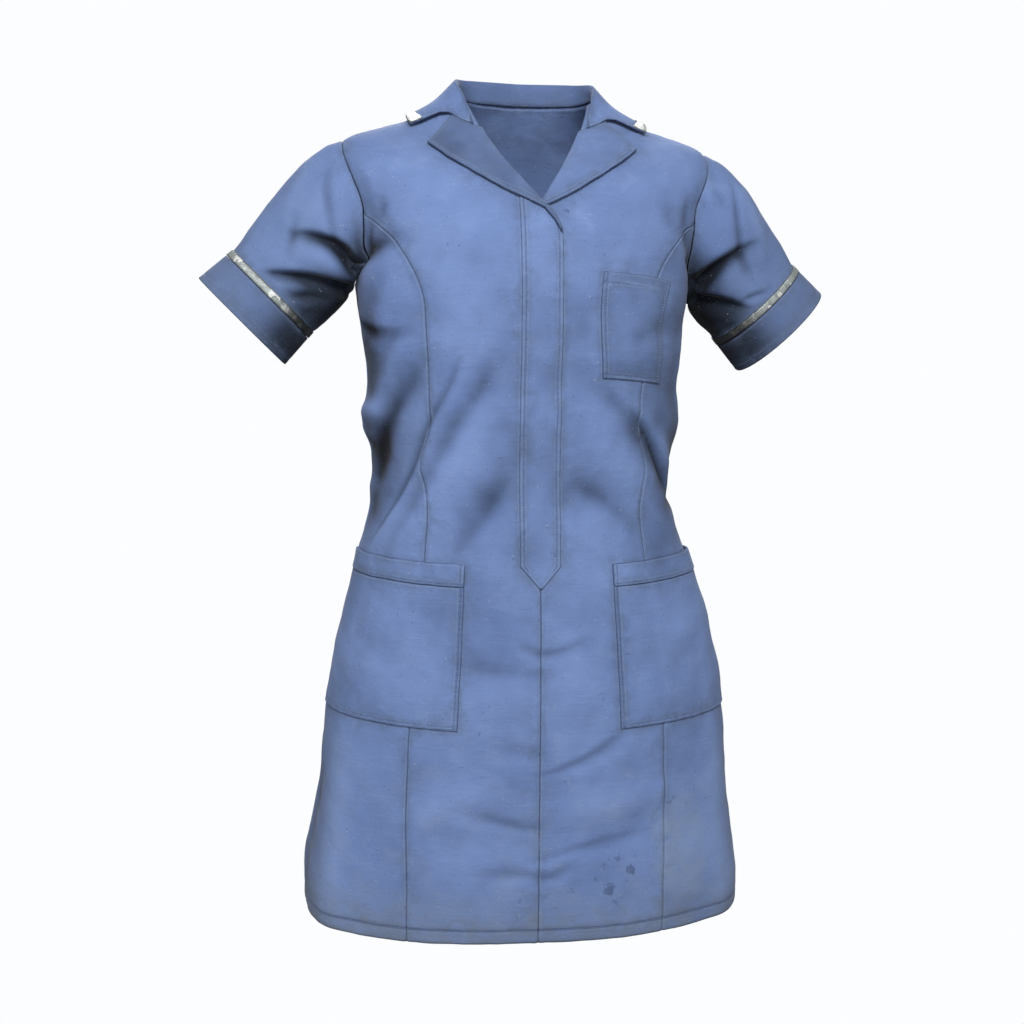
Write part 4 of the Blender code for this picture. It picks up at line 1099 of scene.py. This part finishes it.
def twill_look():
    """Worn mid-blue twill: melange, slubs, grime and painted shade along seams and in folds,
    painted highlights, a soiled hem and stains.
    """
    look = Look("twill")
    maths, times, ramp, noise, coat = look.maths, look.times, look.ramp, look.noise, look.coat
    seam, axes = look.attribute("seam"), look.axes()
    height = maths("ADD", axes["Z"], SHOULDER_HEIGHT)
    # Large and middling unevenness of the dye and the fading.
    broad = noise(9.0, 3.0, 0.55)
    cloudy = noise(34.0, 4.0, 0.6, warp=0.4)
    colour = look.mix(ramp(broad, 0.30, 0.70), BLUE_DEEP, BLUE)
    colour = coat(colour, ramp(cloudy, 0.50, 0.78), 0.30, BLUE_FADED_AND_HIGHLIGHT)
    colour = coat(colour, ramp(cloudy, 0.50, 0.24), 0.26, BLUE_DULL)
    # The weave: fine diagonal ribs, horizontal slubs, and yarns of slightly different blues.
    cut = look.cut
    rib = look.ribs("DIAGONAL", Scale=TWILL_SCALE, Distortion=1.2, Detail=1.0, Detail_Scale=0.6)
    weft = noise(1.0, 2.0, 0.6, look.stretched(cut, (60.0, 1300.0, 1.0)))
    warp = noise(1.0, 2.0, 0.6, look.stretched(cut, (1100.0, 75.0, 1.0)))
    slub = noise(1.0, 3.0, 0.55, look.stretched(cut, (22.0, 420.0, 1.0), (3.0, 7.0, 0)))
    fleck = noise(620.0, 2.0, 0.6)
    for yarn, low, high, share, tone in (
            (rib, 0.2, 0.8, 0.12, BLUE_FADED_AND_HIGHLIGHT), (weft, 0.45, 0.75, 0.22, BLUE_DEEP),
            (warp, 0.50, 0.78, 0.16, BLUE_FADED_AND_HIGHLIGHT), (slub, 0.58, 0.74, 0.30, BLUE_DEEP),
            (slub, 0.42, 0.30, 0.20, BLUE_FADED_AND_HIGHLIGHT), (fleck, 0.60, 0.80, 0.22, BLUE_DEEP),
            (fleck, 0.40, 0.24, 0.22, BLUE_FADED_AND_HIGHLIGHT)):
        colour = coat(colour, ramp(yarn, low, high), share, tone)
    # Folds: painted shade in the hollows, darker the deeper the fold, and wear with a painted
    # highlight on the ridges. The depth also carries the painted shade and darkening given with the
    # pieces.
    rise = look.attribute("rise")
    colour = coat(colour, ramp(rise, 0.0004, 0.0045), 0.34, BLUE_FADED_AND_HIGHLIGHT)
    colour = look.mix(1.0, colour, ramp(rise, -0.0110, 0.0010, 0.02, 1.0), "MULTIPLY")
    # Grime and painted shade gather along the seams, and a dark painted shade lies in their
    # grooves. Beside them the cloth is rubbed and carries a painted highlight.
    blotch = noise(52.0, 5.0, 0.62, warp=0.6)
    near = ramp(seam, 0.0004, 0.0085, 1.0, 0.0)
    wide = ramp(seam, 0.002, SEAM_REACH * 0.9, 1.0, 0.0)
    colour = coat(colour, times(wide, ramp(blotch, 0.36, 0.70)), 0.38, GRIME_AND_SHADE)
    colour = coat(colour, times(near, ramp(blotch, 0.20, 0.60, 0.35, 1.0)), 0.34, GRIME_AND_SHADE)
    colour = coat(colour, ramp(seam, 0.0001, 0.0011, 1.0, 0.0), 0.64, SEAM_GROOVE_SHADE)
    rubbed_and_highlit = times(ramp(seam, 0.0008, 0.0016), ramp(seam, 0.0018, 0.0034, 1.0, 0.0))
    rubbed_and_highlit = times(rubbed_and_highlit, ramp(noise(120.0, 4.0, 0.6), 0.38, 0.58, 0.25, 1.0))
    colour = coat(colour, rubbed_and_highlit, 0.20, BLUE_WORN_AND_HIGHLIGHT)
    # The sleeves are dustier and darker than the body, and most of all at the cuffs: dust with
    # painted shade.
    aside = maths("ABSOLUTE", axes["X"])
    dust_and_shade = times(ramp(aside, 0.19, 0.25, 0.0, 0.27), ramp(cloudy, 0.30, 0.60, 0.7, 1.0))
    cuff_dust_and_shade = times(ramp(aside, 0.28, 0.33, 0.0, 0.36), ramp(blotch, 0.30, 0.65, 0.5, 1.0))
    colour = look.mix(cuff_dust_and_shade, look.mix(dust_and_shade, colour, GRIME_AND_SHADE), GRIME_AND_SHADE)
    # The soiled hem, greyish soil that thins out up the skirt, and painted shade along the hem's
    # stitch line.
    low, skirt = ramp(height, 0.0, 0.075, 1.0, 0.0), ramp(height, 0.02, 0.33, 1.0, 0.0)
    colour = coat(colour, times(low, ramp(blotch, 0.25, 0.75, 0.30, 1.0)), 0.60, SOIL)
    colour = coat(colour, times(skirt, ramp(cloudy, 0.42, 0.70)), 0.16, SOIL)
    from_stitches = maths("ABSOLUTE", maths("SUBTRACT", height, HEM_DEPTH))
    colour = coat(colour, ramp(from_stitches, 0.0005, 0.0024, 1.0, 0.0), 0.50, SEAM_GROOVE_SHADE)
    # Light specks and dark ones, here and there.
    speck = noise(330.0, 1.0, 0.5)
    colour = coat(colour, ramp(speck, 0.735, 0.77), 0.24, PALE)
    colour = coat(colour, ramp(speck, 0.262, 0.235), 0.50, STAIN)
    # Stains, with edges as uneven as a splash.
    splash = look.fill(look.node("TexNoise"), Vector=look.place, Scale=190.0)
    edge = look.node("VectorMath", operation="MULTIPLY_ADD")
    shifted = look.fill_in_order(edge, splash.outputs["Color"], (2 * SPLASH,) * 3, look.place)
    drops = 0.0
    for angle, high, size, depth in zip(*STAINS.values()):
        drop = look.spot(stain_place(angle, high), size, shifted)
        drops = maths("MAXIMUM", drops, times(drop, depth))
    colour = look.mix(times(drops, ramp(blotch, 0.30, 0.60, 0.55, 1.0)), colour, STAIN)
    flat = (1.0, 1.0, PATCH_FLAT)
    patched = look.spot(stain_place(*PATCH_PLACE) * flat, PATCH_SIZE, look.stretched(shifted, flat))
    colour = look.mix(times(patched, ramp(cloudy, 0.30, 0.65, 0.22, 0.62)), colour, PATCH)
    wrinkles = noise(1.0, 4.0, 0.55, look.stretched(look.place, (46.0, 46.0, 78.0)), warp=0.8)
    ridges = maths("ADD", times(rib, 0.55), maths("ADD", times(slub, 1.1), weft))
    look.fill(look.shader, Base_Color=colour, Roughness=maths("ADD", 0.80, times(cloudy, 0.14)),
              Sheen_Weight=0.08, Sheen_Roughness=0.45, Specular_IOR_Level=0.14,
              Normal=look.bump(ridges, 0.00016, 0.8, look.bump(wrinkles, 0.0016, 0.55)))
    return look.material


def thread_look():
    """Sewing thread in the blue of the cloth, twisted, a little dirty."""
    look = Look("thread")
    colour = look.mix(look.ramp(look.noise(60.0, 4.0, 0.6), 0.35, 0.65), BLUE_DEEP, BLUE)
    twist = look.ramp(look.noise(1500.0, 1.0, 0.5), 0.4, 0.6)
    look.fill(look.shader, Base_Color=look.coat(colour, twist, 0.3, BLUE_DULL),
              Roughness=0.6, Sheen_Weight=0.2)
    return look.material


def braid_look():
    """Silvery grey-green ribbed braid, tarnished, with painted glints, a painted highlight on the
    collar, and painted shade at its edges and under the sleeves.
    """
    look = Look("braid")
    ramp, noise, coat = look.ramp, look.noise, look.coat
    blotch = noise(70.0, 4.0, 0.6, warp=0.5)
    ribs = look.ribs("X", Scale=BRAID_SCALE, Distortion=0.6)
    colour = look.mix(ramp(blotch, 0.34, 0.62), BRAID_DULL, BRAID)
    # Painted glints: bright patches in the braid's colour.
    colour = coat(colour, ramp(noise(75.0, 3.0, 0.6), 0.54, 0.62), 0.85, BRAID_HIGHLIGHT)
    # The braid high up, on the collar, gets a further painted highlight that the sleeves' braid
    # lacks.
    colour = look.mix(ramp(look.axes()["Z"], -0.09, -0.05, 0.0, 0.66), colour, BRAID_HIGHLIGHT)
    colour = coat(colour, ramp(ribs, 0.35, 0.0), 0.40, BRAID_DULL)
    # Painted shade along the braid's edges.
    edges = ramp(look.attribute("seam"), 0.0003, 0.0016, 1.0, 0.0)
    colour = coat(colour, edges, 0.75, BRAID_EDGE_SHADE)
    # Painted shade under the sleeves, on their braid.
    painted_shade = ramp(look.attribute("rise"), -0.0100, 0.0010, 0.10, 1.0)
    height = look.maths("ADD", ribs, look.times(noise(700.0, 2.0, 0.5), 0.5))
    look.fill(look.shader, Base_Color=look.mix(1.0, colour, painted_shade, "MULTIPLY"),
              Roughness=ramp(blotch, 0.35, 0.65, 0.55, 0.36),
              Metallic=ramp(blotch, 0.40, 0.65, 0.0, 0.35), Specular_IOR_Level=0.6,
              Normal=look.bump(height, 0.00025, 0.9))
    return look.material


MATERIALS = {"twill": twill_look(), "thread": thread_look(), "braid": braid_look()}

build_body()
build_placket()
build_lapels()
build_pockets()
build_collar()
for word, side, _, _ in SIDES:
    build_sleeve(word, side)

# ---- Sewing ----
UNEVEN = np.random.default_rng(11)
for word, _, inner, outer in SIDES:
    sew(f"hip_pocket_{word}", (inner, EDGE_STITCH, 0.01, 1.0), ("foot", EDGE_STITCH),
        (inner, NEAR_STITCH), ("foot", NEAR_STITCH))
    sew(f"hip_welt_{word}", (inner, EDGE_STITCH), ("foot", WELT_STITCH))
    sew(f"lapel_{word}", (outer, LAPEL_STITCH, 0.02, LAPEL_TIP))
    sew(f"front_centre_{word}", ("foot", HEM_DEPTH))
    sew(f"front_side_{word}", ("foot", HEM_DEPTH))
    sew(f"cuff_{word}", ("top", CUFF_STITCH))
sew("back", ("foot", HEM_DEPTH))
sew("placket", ("start", EDGE_STITCH, 0.05, 1.0), ("end", EDGE_STITCH, 0.05, 1.0))
sew("chest_pocket", ("start", EDGE_STITCH), ("end", EDGE_STITCH), ("foot", EDGE_STITCH),
    ("top", POCKET_HEM))


def seam_tree(names):
    """The sewn edges of some pieces, to find the distance from them."""
    edges = []
    for name in names:
        sheet = PIECES[name][1]
        grid = sheet.points
        lines = [grid[0], grid[-1]] + ([] if sheet.tube else [grid[:, 0], grid[:, -1]])
        edges += [resampled(line, line, SEAM_STEP)[0] for line in lines] + SEWN.get(name, [])
    edges = np.concatenate(edges)
    tree = KDTree(len(edges))
    for i, point in enumerate(edges):
        tree.insert(point, i)
    tree.balance()
    return tree


def mark_seams():
    """Gives each point of the cloth its distance from a sewn edge, and how far folds carry it,
    lowered by any painted shade or darkening.
    """
    kinds = ("front", "back", "sleeve_left", "sleeve_right", "cuff")
    under = [name for name in PIECES if name.startswith(kinds)]
    every, top = seam_tree(PIECES), seam_tree(name for name in PIECES if name not in under)
    for name, (piece, sheet) in PIECES.items():
        tree = every if name in under else top
        far = [min(tree.find(point)[2], SEAM_REACH) for point in sheet.points.reshape(-1, 3)]
        for mark, values in (("seam", far), ("rise", sheet.rise.ravel())):
            marks = piece.data.attributes.new(mark, "FLOAT", "POINT")
            marks.data.foreach_set("value", np.tile(values, 2))


mark_seams()

# Each piece hides the imported part of the same name.
for name, (piece, _) in PIECES.items():
    kind, word = name.rsplit("_", 1) if name.endswith(("_left", "_right")) else (name, "")
    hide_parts(name)

# ---- Light, floor and camera ----
PALE_LIGHT = (0.975, 0.985, 1.0, 1)
AMBIENT = 0.10               # of the world's and the floor's light that reaches the cloth
# By name: each light's place, what it points at, its size and its power.
LIGHTS = {
    "key": ((-0.30, -2.25, 1.30), (0, 0, -0.60), (1.4, 0.9), 80),
    "fill": ((0.0, -2.3, -0.55), (0, 0, -0.80), (1.6, 0.7), 14),
    "back": ((0.2, 2.1, 1.7), (0, 0, -0.45), (1.6, 1.0), 86),
    "left": ((2.1, -0.7, -0.1), (0, 0, -0.75), (1.0, 0.8), 8),
    "right": ((-2.1, -0.9, -0.1), (0, 0, -0.75), (1.0, 0.8), 13),
}
FLOOR = -1.42
FLOOR_RADIUS = 1.4           # of its flat part
FLOOR_CURVE = 1.6            # the radius with which it turns up
FLOOR_TOP = 4.5
FLOOR_SIDES = 64
CAMERA_PLACE = (-0.201155, -1.376895, -0.276606)
PICTURE_RIGHT = Vector((0.99105915, -0.13283834, 0.01247961))
PICTURE_UP = Vector((0.00237991, 0.11111942, 0.99380421))
LENS = 43.217


def brighter_seen(tree, strength):
    """Light of full strength where the camera sees it, and ambient where the cloth does."""
    seen, mixed = tree.nodes.new("ShaderNodeLightPath"), tree.nodes.new("ShaderNodeMath")
    mixed.operation = "MULTIPLY_ADD"
    mixed.inputs[1].default_value = 1.0 - AMBIENT
    mixed.inputs[2].default_value = AMBIENT
    tree.links.new(seen.outputs["Is Camera Ray"], mixed.inputs[0])
    tree.links.new(mixed.outputs[0], strength)


scene = bpy.context.scene
scene.view_settings.view_transform = "Standard"
scene.world = bpy.data.worlds.new("studio")
scene.world.use_nodes = True
tree = scene.world.node_tree
background = tree.nodes["Background"]
background.inputs["Color"].default_value = PALE_LIGHT
brighter_seen(tree, background.inputs["Strength"])
for name, (place, target, size, power) in LIGHTS.items():
    light = bpy.data.lights.new(name, "AREA")
    light.shape = "RECTANGLE"
    light.size, light.size_y = size
    light.energy = power
    lamp = bpy.data.objects.new(name, light)
    lamp.location = place
    lamp.rotation_euler = (Vector(target) - Vector(place)).to_track_quat("-Z", "Y").to_euler()
    bpy.context.collection.objects.link(lamp)

# A pale floor that curves up all round. It looks evenly bright, and lights the cloth only a little.
pale = bpy.data.materials.new("floor")
pale.use_nodes = True
tree = pale.node_tree
glow = tree.nodes.new("ShaderNodeEmission")
glow.inputs["Color"].default_value = PALE_LIGHT
brighter_seen(tree, glow.inputs["Strength"])
tree.links.new(glow.outputs[0], tree.nodes["Material Output"].inputs["Surface"])
turns = np.linspace(0, math.pi / 2, 17)
radii = np.array([0.0, *(FLOOR_RADIUS + FLOOR_CURVE * np.sin(turns)), FLOOR_RADIUS + FLOOR_CURVE])
heights = np.array([FLOOR, *(FLOOR + FLOOR_CURVE * (1 - np.cos(turns))), FLOOR_TOP])
rounds = np.linspace(0, 2 * math.pi, FLOOR_SIDES, endpoint=False)
points = np.stack((np.outer(radii, np.cos(rounds)), np.outer(radii, np.sin(rounds)),
                   np.repeat(heights[:, None], FLOOR_SIDES, axis=1)), -1)
index = np.arange(points[..., 0].size).reshape(points.shape[:2])
after = np.roll(index, -1, axis=1)
faces = np.stack((index[:-1], after[:-1], after[1:], index[1:]), -1).reshape(-1, 4).tolist()
add_mesh("floor", points, faces, pale)

camera = bpy.data.objects.new("camera", bpy.data.cameras.new("camera"))
camera.data.lens = LENS
camera.data.sensor_width = 36
camera.data.clip_start = 0.05
turn = Matrix((PICTURE_RIGHT, PICTURE_UP, PICTURE_RIGHT.cross(PICTURE_UP))).transposed().to_4x4()
camera.matrix_world = Matrix.Translation(CAMERA_PLACE) @ turn
bpy.context.collection.objects.link(camera)
scene.camera = camera
